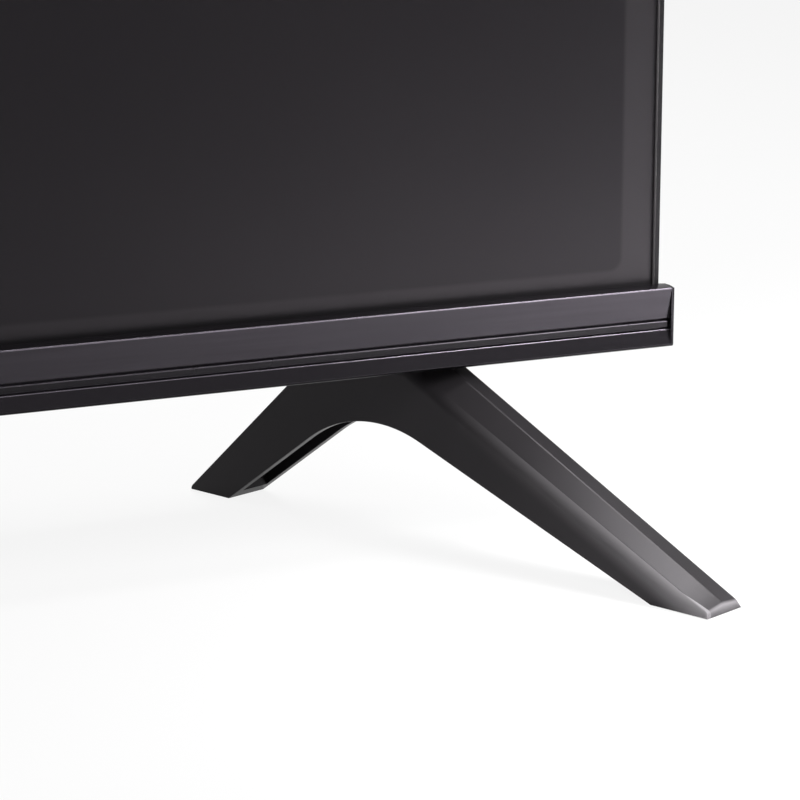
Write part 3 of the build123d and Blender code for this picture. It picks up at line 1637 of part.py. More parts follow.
left_speaker_lead = round_lead(
    [
        (board_start + lead_step, lead_on_board, main_board_low + lead_radius + lead_gap / 2),
        (run_left - lead_step / 2, lead_on_board, main_board_low + lead_radius + lead_gap / 2),
        (run_left - 2 * lead_step, lead_over, speaker_lead_height),
        (-speaker_offset + lead_step, lead_over, speaker_lead_height),
        (-speaker_offset, lead_on_board, speaker_lead_height),
        (-speaker_offset, lead_on_board, box_top),
    ]
)
right_speaker_lead = round_lead(
    [
        (speaker_offset, lead_on_board, lead_height),
        (speaker_offset, lead_on_board, main_board_low),
        (right_lead_place, lead_on_board, speaker_lead_height),
        (right_lead_place, lead_on_board, box_top),
    ]
)
with BuildPart() as speaker_leads:
    add(left_speaker_lead.part)
    add(right_speaker_lead.part)
speaker_leads.part.label = "speaker_leads"
export_step(speaker_leads.part, "parts/speaker_leads.step")
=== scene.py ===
import json
from math import cos, radians, sin, sqrt, tan

import bmesh
import bpy
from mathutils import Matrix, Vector


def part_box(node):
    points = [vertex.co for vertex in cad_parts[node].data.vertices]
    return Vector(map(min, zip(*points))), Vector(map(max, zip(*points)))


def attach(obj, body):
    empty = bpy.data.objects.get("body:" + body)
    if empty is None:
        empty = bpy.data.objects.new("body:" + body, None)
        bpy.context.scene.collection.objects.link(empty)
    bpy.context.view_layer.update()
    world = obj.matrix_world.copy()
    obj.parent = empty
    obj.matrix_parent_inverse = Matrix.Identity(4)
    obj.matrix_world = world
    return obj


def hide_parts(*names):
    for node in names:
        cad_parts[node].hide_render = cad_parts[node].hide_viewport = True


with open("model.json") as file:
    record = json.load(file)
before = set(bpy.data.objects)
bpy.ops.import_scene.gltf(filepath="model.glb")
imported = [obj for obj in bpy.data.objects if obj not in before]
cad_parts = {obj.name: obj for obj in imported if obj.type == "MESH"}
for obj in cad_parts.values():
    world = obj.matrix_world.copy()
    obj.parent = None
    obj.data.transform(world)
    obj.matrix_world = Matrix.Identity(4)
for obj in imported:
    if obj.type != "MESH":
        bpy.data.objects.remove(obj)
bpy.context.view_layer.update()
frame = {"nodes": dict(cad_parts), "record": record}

MM = 0.001
nodes = frame["nodes"]
record = frame["record"]

# Camera: place, turn down and to the right in degrees, sensor and focal length in millimetres
CAMERA_PLACE = (0.05135, -0.71952, 0.23085)
CAMERA_DOWN, CAMERA_RIGHT = 13.061, 25.684
SENSOR_WIDTH, FOCAL_LENGTH = 36, 126.5
CLIPPING = (0.02, 60)

# Places on the set
CHIN_HEIGHT = 18.0 * MM
TROUGH_HEIGHT = 5.2 * MM
chin_low, chin_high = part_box("chin_bar")
glass_low, glass_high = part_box("lcd_cell")
frame_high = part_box("bezel_frame")[1]
strip_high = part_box("chin_accent_strip")[1]
chin_front_top = chin_low.z + CHIN_HEIGHT
trough_low = chin_low.z + TROUGH_HEIGHT

# The frame's lip in the solid and as it is seen, how near a vertex is to be on the solid's, and how
# far the painted highlight on its inner wall reaches
CAD_LIP, LIP = 2.7 * MM, 1.65 * MM
ON_LIP, LIP_WALL_HIGHLIGHT = 0.05 * MM, 0.1 * MM

# Picture area: width, height, place above the chin's front, corner radius, softness of its edge
PICTURE_WIDTH, PICTURE_HEIGHT = 941.2 * MM, 529.4 * MM
PICTURE_ABOVE_CHIN = 5.4 * MM
PICTURE_CORNER = 4.0 * MM
PICTURE_SOFTNESS = 0.6 * MM

# Measures of a foot, in millimetres and radians; "front" is along the foot, away from the wall
SPLAY = radians(21.7)
FOOT_START = (407.0, -7.464)
WIDTH = 16.0
FRONT, REAR = 97.1, 106.8
ARCH_FRONT, ARCH_REAR = 77.6, 89.9
ARCH_RADIUS = 49.0
FRONT_ARCH, REAR_ARCH = radians(20.2), radians(35.6)
LEG_ANGLE, HEEL_ANGLE = radians(25.8), radians(42.2)
LEG_SLOPE, HEEL_SLOPE = tan(LEG_ANGLE), tan(HEEL_ANGLE)
TIP, HEEL, TOP, BASE = 2.4, 1.3, 56.4, 0.2
CREST_RISE, CREST_RISE_AT_TIP = 3.0, 0.5
WALL, TOE = 2.8, 4.0
TONGUE_REAR, TONGUE_FRONT, TONGUE_TOP, TONGUE_SUNK = -45.0, -28.0, 68.4, 0.5

# The rear leg has square edges and the front leg a soft shoulder; one becomes the other between these
SQUARE_UNTIL, SOFT_FROM = -30.0, -20.0
SIDE_TURN = radians(45)
SHOULDER, SHOULDER_SHARE, SQUARE_TURN = 4.2, 0.62, 0.4
SHOULDER_STEPS = 8
OUTER_DROP, OUTER_IN, OUTER_DOWN, OUTER_EDGE = 0.5, 1.6, 2.2, 0.2

# How far each rounded corner of the outline reaches from its point, and its steps
INNER_CORNER, RIDGE_CORNER, CREST_CORNER, OUTER_CORNER = (0.5, 3), (0.3, 2), (0.5, 3), (0.4, 3)

# Where a foot gets painted highlights: at the tip, how far from its end and how high, and how weak at the
# floor;
# at the shoulder, how far below the ridge and from the near side, and the share of the front leg where it is
# full
TIP_HIGHLIGHT_FROM_END, TIP_HIGHLIGHT_HEIGHTS, TIP_HIGHLIGHT_AT_FLOOR = (1.0, 0.3), (0.5, 2.5), 0.25
SHOULDER_HIGHLIGHT_BELOW_RIDGE, SHOULDER_HIGHLIGHT_FROM_SIDE, SHOULDER_HIGHLIGHT_FULL_AT = (10.0, 0.5), 1.8, 0.85

# Ends of a foot: number of sections, room left for the rounding, its radius, steps and narrowing
SECTIONS = 140
TIP_ROOM, HEEL_ROOM = 1.2, 0.7
TIP_RADIUS, HEEL_RADIUS = 1.1, 0.6
END_STEPS = 6
NARROWING = 0.35

# How far vertices may lie apart to be joined, and the length under which an edge is nothing
JOINED, NOTHING = 0.002 * MM, 0.001 * MM

# Angles: faces within the first are one flat face, edges from the others are rounded or stay sharp
FLAT, ROUNDED_FROM, SHARP_FROM = radians(0.4), radians(28), radians(32)

# Shares of white that the camera, gloss and transmission find in the floor and in the world
FLOOR_WHITE = (0.88, 0.5, 0.5)
WORLD_WHITE = (1, 0.5, 0.5)
WORLD_LIGHT = 0.11
FLOOR_COLOUR = (0.8, 0.8, 0.8, 1)
FLOOR_REACH = 6

# Scales of the noises for grain and tone, and how lines are drawn out of a noise along an axis
FINE_GRAIN, SLOW_CHANGE, GLOSS_CHANGE = 2600.0, 28.0, 16.0
HAIRLINES, DRAWN_LINES, ORANGE_PEEL = 900.0, 1400.0, 700.0
LENS_TONE, GLASS_TONE, ANTI_GLARE = 300.0, 9.0, 5200.0
ALONG_X, ALONG_Z = (0.02, 1.0, 1.0), (1.0, 1.0, 0.05)

# The part of a noise's values that a change of colour or of gloss goes over
COLOUR_MIDDLE, GLOSS_MIDDLE = (0.3, 0.7), (0.25, 0.75)


def make_camera():
    """Camera at the viewpoint of the photograph: left of the right foot, a little above the chin."""
    data = bpy.data.cameras.new("photo_camera")
    camera = bpy.data.objects.new("photo_camera", data)
    bpy.context.collection.objects.link(camera)
    camera.location = CAMERA_PLACE
    camera.rotation_euler = (radians(90 - CAMERA_DOWN), 0, radians(-CAMERA_RIGHT))
    data.sensor_width = SENSOR_WIDTH
    data.lens = FOCAL_LENGTH
    data.clip_start, data.clip_end = CLIPPING
    bpy.context.scene.camera = camera


# Node helpers
class Nodes:
    """The nodes of a material or a world, added one at a time and joined by name of socket."""

    def __init__(self, name, tree=None, output="OutputMaterial"):
        self.material = None
        if not tree:
            self.material = bpy.data.materials.new(name)
            self.material.use_nodes = True
            tree = self.material.node_tree
        self.tree = tree
        self.tree.nodes.clear()
        self.output = self.tree.nodes.new("ShaderNode" + output)

    def add(self, kind, **values):
        """A node of a kind, with values for its sockets or its settings."""
        node = self.tree.nodes.new("ShaderNode" + kind)
        for key, value in values.items():
            name = key.replace("_", " ")
            if name in node.inputs:
                node.inputs[name].default_value = value
            else:
                setattr(node, key, value)
        return node

    def join(self, source, target, socket):
        self.tree.links.new(source, target.inputs[socket])

    def coordinates(self):
        return self.add("TexCoord").outputs["Object"]

    def place(self):
        """Places along X, Y and Z on the object."""
        parts = self.add("SeparateXYZ")
        self.join(self.coordinates(), parts, "Vector")
        return parts.outputs["X"], parts.outputs["Y"], parts.outputs["Z"]

    def math(self, operation, *values):
        """A sum with sockets and plain numbers."""
        node = self.add("Math", operation=operation)
        for index, value in enumerate(values):
            if isinstance(value, (int, float)):
                node.inputs[index].default_value = value
            else:
                self.join(value, node, index)
        return node.outputs[0]

    def dot(self, vector, direction):
        node = self.add("VectorMath", operation="DOT_PRODUCT")
        self.join(vector, node, 0)
        node.inputs[1].default_value = direction
        return node.outputs["Value"]

    def reach(self, value, start, end, low=0.0, high=1.0, form="LINEAR"):
        """A value's way from start to end, as low to high."""
        node = self.add("MapRange", interpolation_type=form,
                        From_Min=start, From_Max=end, To_Min=low, To_Max=high)
        self.join(value, node, "Value")
        return node.outputs["Result"]

    def spread(self, value, low, high):
        """The middle of a noise, spread from low to high."""
        return self.reach(value, *GLOSS_MIDDLE, low, high)

    def noise(self, scale, detail=3.0, stretch=None):
        texture = self.add("TexNoise", Scale=scale, Detail=detail)
        vector = self.coordinates()
        if stretch:
            mapping = self.add("Mapping", Scale=stretch)
            self.join(vector, mapping, "Vector")
            vector = mapping.outputs["Vector"]
        self.join(vector, texture, "Vector")
        return texture.outputs["Fac"]

    def ramp(self, value, *colours):
        """The middle of a noise as a change from one colour to the other."""
        ramp = self.add("ValToRGB")
        for element, position, colour in zip(ramp.color_ramp.elements, COLOUR_MIDDLE, colours):
            element.position = position
            element.color = (*colour, 1)
        self.join(value, ramp, "Fac")
        return ramp.outputs["Color"]

    def blend(self, share, under, over):
        """One colour over another, by share."""
        node = self.add("MixRGB", Color2=(*over, 1))
        self.join(share, node, "Fac")
        self.join(under, node, "Color1")
        return node.outputs["Color"]

    def bump(self, value, strength, distance):
        bump = self.add("Bump", Strength=strength, Distance=distance)
        self.join(value, bump, "Height")
        return bump.outputs["Normal"]

    def dress(self, shader, colour=None, roughness=None, normal=None):
        """Join what varies to a shader, and the shader to the output."""
        for value, socket in ((colour, "Base Color"), (roughness, "Roughness"), (normal, "Normal")):
            if value:
                self.join(value, shader, socket)
        return self.finish(shader)

    def finish(self, shader):
        self.join(shader.outputs[0], self.output, "Surface")
        return self.material


def shade(colour, factor):
    """A colour made lighter or darker."""
    return tuple(min(1.0, channel * factor) for channel in colour)


# Materials
def moulded_plastic(name, colour, roughness=0.45, grain=FINE_GRAIN, depth=0.02, variation=0.12):
    """Satin plastic: fine spark-eroded grain, slow changes of tone and of roughness."""
    n = Nodes(name)
    shader = n.add("BsdfPrincipled")
    slow = n.noise(SLOW_CHANGE, 4.0)
    tone = n.ramp(slow, shade(colour, 1 - variation), shade(colour, 1 + variation))
    return n.dress(shader, tone, n.spread(slow, roughness - 0.04, roughness + 0.04),
                   n.bump(n.noise(grain, 2.0), 0.35, depth * MM))


def foot_plastic(name):
    """Satin plastic with a fine grain, with painted highlights at the blunt tip and below the shoulder."""
    n = Nodes(name)
    shader = n.add("BsdfPrincipled", Specular_Tint=(1, 0.95, 1, 1), Specular_IOR_Level=0.16)
    x, y, z = n.place()
    folded = n.add("CombineXYZ")
    n.join(n.math("ABSOLUTE", x), folded, "X")
    n.join(y, folded, "Y")
    n.join(z, folded, "Z")
    place = folded.outputs["Vector"]

    # Painted highlight on the tip: the last millimetre of the foot, fading towards the floor
    along = n.dot(place, (sin(SPLAY), -cos(SPLAY), 0))
    start = (FOOT_START[0] * sin(SPLAY) - FOOT_START[1] * cos(SPLAY)) * MM
    end_face = n.reach(along, *(start + (FRONT - distance) * MM for distance in TIP_HIGHLIGHT_FROM_END))
    rising = n.reach(z, *(height * MM for height in TIP_HIGHLIGHT_HEIGHTS), low=TIP_HIGHLIGHT_AT_FLOOR)
    tip = n.math("MULTIPLY", end_face, rising)

    # Painted highlight on the shoulder: from the ridge down the near side, growing along the front leg
    across = n.dot(place, (cos(SPLAY), sin(SPLAY), 0))
    near_side = (FOOT_START[0] * cos(SPLAY) + FOOT_START[1] * sin(SPLAY)) * MM
    rise = n.dot(place, (sin(SPLAY) * LEG_SLOPE, -cos(SPLAY) * LEG_SLOPE, 1))
    ridge = start * LEG_SLOPE + (TIP + FRONT * LEG_SLOPE) * MM
    below_ridge = n.reach(rise, *(ridge - distance * MM for distance in SHOULDER_HIGHLIGHT_BELOW_RIDGE), form="SMOOTHSTEP")
    short_of_ridge = n.math("LESS_THAN", across, near_side + SHOULDER_HIGHLIGHT_FROM_SIDE * MM)
    front_leg = n.reach(along, start, start + SHOULDER_HIGHLIGHT_FULL_AT * FRONT * MM)
    shoulder = n.math("MULTIPLY", n.math("MULTIPLY", below_ridge, short_of_ridge), front_leg)

    slow = n.noise(SLOW_CHANGE, 4.0)
    tone = n.ramp(slow, (0.0125, 0.0114, 0.0126), (0.0157, 0.0143, 0.0158))
    # Painted highlights: a lighter colour on the shoulder and on the tip
    tone = n.blend(shoulder, tone, (0.135, 0.129, 0.135))
    tone = n.blend(tip, tone, (0.13, 0.123, 0.13))
    return n.dress(shader, tone, n.spread(slow, 0.28, 0.34), n.bump(n.noise(FINE_GRAIN, 2.0), 0.5, 0.03 * MM))


def frame_plastic(name):
    """Satin black frame; the inner wall of its lip, next to the glass, is lighter: a painted highlight."""
    n = Nodes(name)
    shader = n.add("BsdfPrincipled", Specular_IOR_Level=0.06)
    x, _, z = n.place()
    # Painted highlight: the lip's inner wall, next to the glass, gets a lighter colour
    inside = n.math("MULTIPLY", n.math("LESS_THAN", n.math("ABSOLUTE", x), frame_high.x - LIP + LIP_WALL_HIGHLIGHT),
                    n.math("LESS_THAN", z, frame_high.z - LIP + LIP_WALL_HIGHLIGHT))
    slow = n.noise(SLOW_CHANGE, 4.0)
    tone = n.ramp(slow, (0.013, 0.012, 0.0135), (0.017, 0.016, 0.0175))
    tone = n.blend(inside, tone, (0.16, 0.152, 0.16))
    return n.dress(shader, tone, n.spread(slow, 0.32, 0.4), n.bump(n.noise(FINE_GRAIN, 2.0), 0.35, 0.02 * MM))


def hairline_paint(name, colour, bands, roughness, metallic):
    """Dark metallic paint with fine lines along X, with painted highlights and painted shade in given bands.

    Each band is its axis, its middle on it, half its width, and how bright it is.
    """
    n = Nodes(name)
    shader = n.add("BsdfPrincipled", Metallic=metallic, Specular_IOR_Level=0.25)
    lines = n.noise(HAIRLINES, stretch=ALONG_X)
    tone = n.ramp(lines, shade(colour, 0.9), shade(colour, 1.1))
    x, _, z = n.place()
    sources = {"X": n.math("ABSOLUTE", x), "Z": z}
    # Painted highlights and painted shade: each band lighter or darker
    for axis, middle, half_width, brightness in bands:
        near = n.math("COMPARE", sources[axis], middle, half_width)
        tone = n.blend(near, tone, shade(colour, brightness))
    gloss = n.spread(n.noise(GLOSS_CHANGE), roughness - 0.03, roughness + 0.05)
    return n.dress(shader, tone, gloss, n.bump(lines, 0.4, 0.012 * MM))


def metal(name, colour, roughness):
    """Drawn or rolled metal with a faint direction in its grain."""
    n = Nodes(name)
    shader = n.add("BsdfPrincipled", Metallic=1.0)
    lines = n.noise(DRAWN_LINES, stretch=ALONG_Z)
    return n.dress(shader, n.ramp(lines, shade(colour, 0.88), shade(colour, 1.08)),
                   n.spread(lines, roughness - 0.06, roughness + 0.08), n.bump(lines, 0.25, 0.01 * MM))


def painted_steel(name, colour, roughness):
    """Coated steel: slight orange peel and worn tone."""
    n = Nodes(name)
    shader = n.add("BsdfPrincipled")
    peel = n.noise(ORANGE_PEEL, 2.0)
    return n.dress(shader, n.ramp(peel, shade(colour, 0.85), shade(colour, 1.15)),
                   n.spread(peel, roughness - 0.05, roughness + 0.05), n.bump(peel, 0.2, 0.01 * MM))


def circuit_board(name, colour, track_colour):
    """Solder mask over tracks: lighter copper runs between darker fields, under a satin coat."""
    n = Nodes(name)
    shader = n.add("BsdfPrincipled", Roughness=0.35)
    tracks = n.add("TexBrick", Scale=90.0, Mortar_Size=0.03, Brick_Width=0.9, Row_Height=0.25,
                   Color1=(*colour, 1), Color2=(*shade(colour, 1.25), 1), Mortar=(*track_colour, 1))
    turned = n.add("Mapping", Rotation=(radians(90), 0, 0))
    n.join(n.coordinates(), turned, "Vector")
    n.join(turned.outputs["Vector"], tracks, "Vector")
    return n.dress(shader, tracks.outputs["Color"], normal=n.bump(tracks.outputs["Fac"], 0.2, 0.03 * MM))


def clear_lens(name):
    """Clear moulded lens with a faint change of tone."""
    n = Nodes(name)
    shader = n.add("BsdfPrincipled", Roughness=0.08, IOR=1.49, Transmission_Weight=0.9)
    return n.dress(shader, n.ramp(n.noise(LENS_TONE, 2.0), (0.86, 0.88, 0.9), (0.96, 0.96, 0.96)))


def screen_glass(name):
    """Anti-glare glass, off: a darker picture area inside a slightly lighter border."""
    n = Nodes(name)
    shader = n.add("BsdfPrincipled", Roughness=0.3, Specular_Tint=(1, 0.91, 1, 1), Specular_IOR_Level=0.2)
    picture = n.ramp(n.noise(GLASS_TONE, 2.0), (0.0062, 0.0056, 0.0066), (0.0078, 0.0071, 0.0082))
    tone = n.blend(border_mask(n), picture, (0.0175, 0.0161, 0.0177))
    return n.dress(shader, tone, normal=n.bump(n.noise(ANTI_GLARE, 1.0), 0.15, 0.006 * MM))


def border_mask(n):
    """One outside the picture area and nought inside, with a narrow soft edge and round corners."""
    middle_x = (glass_low.x + glass_high.x) / 2
    middle_z = chin_front_top + PICTURE_ABOVE_CHIN + PICTURE_HEIGHT / 2
    x, _, z = n.place()
    squares = []
    for source, middle, half in ((x, middle_x, PICTURE_WIDTH / 2), (z, middle_z, PICTURE_HEIGHT / 2)):
        size = n.math("ABSOLUTE", n.math("SUBTRACT", source, middle))
        past = n.math("MAXIMUM", n.math("SUBTRACT", size, half - PICTURE_CORNER), 0)
        squares.append(n.math("POWER", past, 2))
    distance = n.math("SQRT", n.math("ADD", *squares))
    return n.reach(distance, PICTURE_CORNER - PICTURE_SOFTNESS, PICTURE_CORNER + PICTURE_SOFTNESS)


def make_materials():
    """One material for each slot of the record."""
    # Painted highlights and painted shade in bands on the chin and on its strip
    chin_highlight_and_shade_bands = (
        ("Z", chin_low.z + 2.9 * MM, 2.1 * MM, 0.75),  # painted shade: the lower face darker
        ("Z", chin_low.z + 0.35 * MM, 0.45 * MM, 0.25),  # painted shade: its bottom edge darker
        ("Z", chin_front_top - 0.15 * MM, 0.22 * MM, 4.5),  # painted highlight on the top edge
        ("Z", trough_low - 0.1 * MM, 0.2 * MM, 6.0),  # painted highlight on the edge of the trough
        ("X", chin_high.x - 0.5 * MM, 0.56 * MM, 0.5),  # painted shade: the end walls darker
    )
    strip_highlight_bands = (("Z", strip_high.z - 0.15 * MM, 0.16 * MM, 6.0),)  # painted highlight on the strip's top edge
    return {
        "frame_black": frame_plastic("frame_black"),
        "chin_satin": hairline_paint("chin_satin", (0.034, 0.0305, 0.0362), chin_highlight_and_shade_bands, 0.22, 0.8),
        "strip_satin": hairline_paint("strip_satin", (0.0115, 0.0103, 0.0122), strip_highlight_bands, 0.28, 0.7),
        "screen_glass": screen_glass("screen_glass"),
        "inner_plastic": moulded_plastic("inner_plastic", (0.02, 0.02, 0.02), 0.5),
        "film_white": moulded_plastic("film_white", (0.78, 0.78, 0.78), 0.3, depth=0.005, variation=0.02),
        "diffuser_white": moulded_plastic("diffuser_white", (0.8, 0.8, 0.79), 0.4, depth=0.01, variation=0.02),
        "tray_steel": metal("tray_steel", (0.6, 0.61, 0.62), 0.42),
        "reflector_white": moulded_plastic("reflector_white", (0.82, 0.82, 0.81), 0.6, variation=0.02),
        "light_board": painted_steel("light_board", (0.75, 0.75, 0.73), 0.45),
        "lens_clear": clear_lens("lens_clear"),
        "circuit_green": circuit_board("circuit_green", (0.01, 0.09, 0.035), (0.05, 0.2, 0.08)),
        "circuit_tan": circuit_board("circuit_tan", (0.32, 0.2, 0.08), (0.5, 0.34, 0.16)),
        "flex_amber": moulded_plastic("flex_amber", (0.4, 0.18, 0.03), 0.3, depth=0.005),
        "cover_black": moulded_plastic("cover_black", (0.024, 0.024, 0.0255), 0.5, 1500.0, 0.06),
        "screw_black": painted_steel("screw_black", (0.03, 0.03, 0.03), 0.35),
        "screw_zinc": metal("screw_zinc", (0.68, 0.68, 0.69), 0.3),
        "post_steel": metal("post_steel", (0.6, 0.6, 0.61), 0.34),
        "chip_black": moulded_plastic("chip_black", (0.015, 0.015, 0.016), 0.5),
        "sink_aluminium": metal("sink_aluminium", (0.74, 0.75, 0.76), 0.38),
        "socket_steel": metal("socket_steel", (0.66, 0.66, 0.66), 0.25),
        "aerial_chrome": metal("aerial_chrome", (0.78, 0.78, 0.78), 0.16),
        "socket_plastic": moulded_plastic("socket_plastic", (0.025, 0.025, 0.025), 0.42),
        "transformer_dark": moulded_plastic("transformer_dark", (0.07, 0.06, 0.045), 0.55),
        "capacitor_sleeve": moulded_plastic("capacitor_sleeve", (0.02, 0.025, 0.08), 0.25, depth=0.004),
        "pin_brass": metal("pin_brass", (0.72, 0.6, 0.34), 0.24),
        "speaker_plastic": moulded_plastic("speaker_plastic", (0.03, 0.03, 0.03), 0.5),
        "cone_paper": moulded_plastic("cone_paper", (0.05, 0.05, 0.05), 0.8, 1800.0, 0.08),
        "magnet_steel": painted_steel("magnet_steel", (0.12, 0.12, 0.12), 0.4),
        "pod_plastic": moulded_plastic("pod_plastic", (0.03, 0.03, 0.032), 0.42),
        "window_dark": moulded_plastic("window_dark", (0.03, 0.004, 0.006), 0.12, depth=0.002),
        "plunger_white": moulded_plastic("plunger_white", (0.7, 0.7, 0.7), 0.4),
        "button_black": moulded_plastic("button_black", (0.035, 0.035, 0.037), 0.4),
        "foot_satin": foot_plastic("foot_satin"),
        "pad_rubber": moulded_plastic("pad_rubber", (0.02, 0.02, 0.02), 0.8, 1200.0, 0.08),
        "bracket_steel": metal("bracket_steel", (0.58, 0.59, 0.6), 0.4),
        "ribbon_white": moulded_plastic("ribbon_white", (0.72, 0.73, 0.75), 0.35, depth=0.004),
        "lead_grey": moulded_plastic("lead_grey", (0.2, 0.2, 0.21), 0.5),
        "lead_black": moulded_plastic("lead_black", (0.02, 0.02, 0.02), 0.5),
    }


def dress_cad_nodes(materials):
    """Every CAD node gets the material of its slot."""
    for part in record["subparts"]:
        mesh = nodes[part["node"]].data
        mesh.materials.clear()
        mesh.materials.append(materials[part["material_slot"]])


# Pieces that stand for CAD nodes
def claim(piece, node):
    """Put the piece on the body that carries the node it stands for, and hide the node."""
    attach(piece, next(name for name, held in record["behaviour"]["bodies"].items() if node in held))
    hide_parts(node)


def even_normals(piece):
    """Flat faces stay flat up to their edges, and sharp edges stay sharp."""
    weighted = piece.modifiers.new("even_normals", "WEIGHTED_NORMAL")
    weighted.keep_sharp = True


def new_piece(node, work, mesh_name):
    """An object from a finished mesh, with the material of the node that it stands for."""
    for face in work.faces:
        face.smooth = True
    mesh = bpy.data.meshes.new(node + mesh_name)
    work.to_mesh(mesh)
    work.free()
    mesh.materials.clear()
    mesh.materials.append(nodes[node].data.materials[0])
    piece = bpy.data.objects.new(node + "_piece", mesh)
    bpy.context.collection.objects.link(piece)
    return piece


def narrow_lip(work):
    """The frame's lip is drawn back to its seen width at the sides and the top."""
    for vertex in work.verts:
        across, up = abs(vertex.co.x), vertex.co.z
        if abs(across - (frame_high.x - CAD_LIP)) < ON_LIP:
            vertex.co.x += (CAD_LIP - LIP) * (1 if vertex.co.x > 0 else -1)
        if abs(up - (frame_high.z - CAD_LIP)) < ON_LIP:
            vertex.co.z += CAD_LIP - LIP


def rounded_piece(node, width, segments, change=None):
    """A copy of a node's form: flat faces joined, edges rounded by a bevel of a width in millimetres."""
    work = bmesh.new()
    work.from_mesh(nodes[node].data)
    bmesh.ops.remove_doubles(work, verts=work.verts, dist=JOINED)
    bmesh.ops.dissolve_limit(work, angle_limit=FLAT, verts=work.verts, edges=work.edges)
    if change:
        change(work)
    piece = new_piece(node, work, "_rounded")
    bevel = piece.modifiers.new("rounding", "BEVEL")
    bevel.width = width * MM
    bevel.segments = segments
    bevel.limit_method = "ANGLE"
    bevel.angle_limit = ROUNDED_FROM
    bevel.harden_normals = True
    bevel.use_clamp_overlap = False
    even_normals(piece)
    claim(piece, node)


# Feet, swept from cross-sections along their length, in millimetres
def ridge_height(along):
    return TIP + (FRONT - along) * LEG_SLOPE


def crest_height(along):
    return ridge_height(along) + CREST_RISE + (CREST_RISE_AT_TIP - CREST_RISE) * along / FRONT


def heel_height(along):
    return HEEL + (along + REAR) * HEEL_SLOPE


def underside(along):
    """Height of the foot's lower edge: pads at both ends, a round arch between them."""
    if along <= -ARCH_REAR or along >= ARCH_FRONT:
        return BASE
    slope_rear, slope_front = tan(REAR_ARCH), tan(FRONT_ARCH)
    apex = (ARCH_FRONT * slope_front - ARCH_REAR * slope_rear) / (slope_rear + slope_front)
    run = ARCH_RADIUS * tan((REAR_ARCH + FRONT_ARCH) / 2)
    arc_start, arc_end = apex - run * cos(REAR_ARCH), apex + run * cos(FRONT_ARCH)
    if along < arc_start:
        return BASE + (along + ARCH_REAR) * slope_rear
    if along > arc_end:
        return BASE + (ARCH_FRONT - along) * slope_front
    middle = arc_start + ARCH_RADIUS * sin(REAR_ARCH)
    low = BASE + (arc_start + ARCH_REAR) * slope_rear - ARCH_RADIUS * cos(REAR_ARCH)
    return low + sqrt(ARCH_RADIUS**2 - (along - middle) ** 2)


def corner(before, point, after, reach, steps):
    """A rounded corner of an outline: a smooth curve that starts and ends at reach from the point."""
    start = point + (before - point).normalized() * min(reach, (before - point).length / 2)
    end = point + (after - point).normalized() * min(reach, (after - point).length / 2)
    places = [step / steps for step in range(steps + 1)]
    return [start.lerp(point, share).lerp(point.lerp(end, share), share) for share in places]


def foot_outline(along, hollow):
    """Points round the foot at one place along it, as (across, height)."""
    low = underside(along)
    on_front = min(1.0, max(0.0, (along - SQUARE_UNTIL) / (SOFT_FROM - SQUARE_UNTIL)))
    ridge = min(ridge_height(along), heel_height(along), TOP)
    crest = min(crest_height(along), heel_height(along), TOP)
    outer = min(crest_height(along) - OUTER_DROP * on_front, heel_height(along), TOP)

    # The near side turns into the shoulder, which ends at the ridge
    turn = min(SHOULDER, SHOULDER_SHARE * (ridge - low)) * on_front + SQUARE_TURN * (1 - on_front)
    radius = turn / sin(SIDE_TURN)
    inward = radius * (1 - cos(SIDE_TURN))
    ridge -= inward * on_front
    near = []
    for step in range(SHOULDER_STEPS):
        angle = SIDE_TURN * step / SHOULDER_STEPS
        near.append(Vector((radius * (1 - cos(angle)), ridge - turn + radius * sin(angle))))

    low_near, low_far = Vector((0, low)), Vector((WIDTH, low))
    ridge_point = Vector((inward, ridge))
    crest_point = Vector((WIDTH / 2, crest))
    outer_point = Vector((WIDTH - OUTER_IN * on_front - OUTER_EDGE, outer))
    side_point = Vector((WIDTH, outer - OUTER_DOWN * on_front - OUTER_EDGE))
    points = corner(Vector((WALL, low)), low_near, near[0], *INNER_CORNER) + near
    points += corner(near[-1], ridge_point, crest_point, *RIDGE_CORNER)
    points += corner(ridge_point, crest_point, outer_point, *CREST_CORNER)
    points += corner(crest_point, outer_point, side_point, *OUTER_CORNER)
    points += corner(outer_point, side_point, low_far, *OUTER_CORNER)
    points += corner(side_point, low_far, Vector((WIDTH - WALL, low)), *OUTER_CORNER)

    # The hollow inside, or nothing where the foot is solid
    ceiling = min(heel_height(along) - WALL / cos(HEEL_ANGLE), ridge_height(along) - WALL / cos(LEG_ANGLE))
    ceiling = max(low, min(ceiling, TOP - 2 * WALL)) if hollow else low
    inner = ((WIDTH - WALL, low), (WIDTH - WALL, ceiling), (WALL, ceiling), (WALL, low))
    return points + [Vector(place) for place in inner]


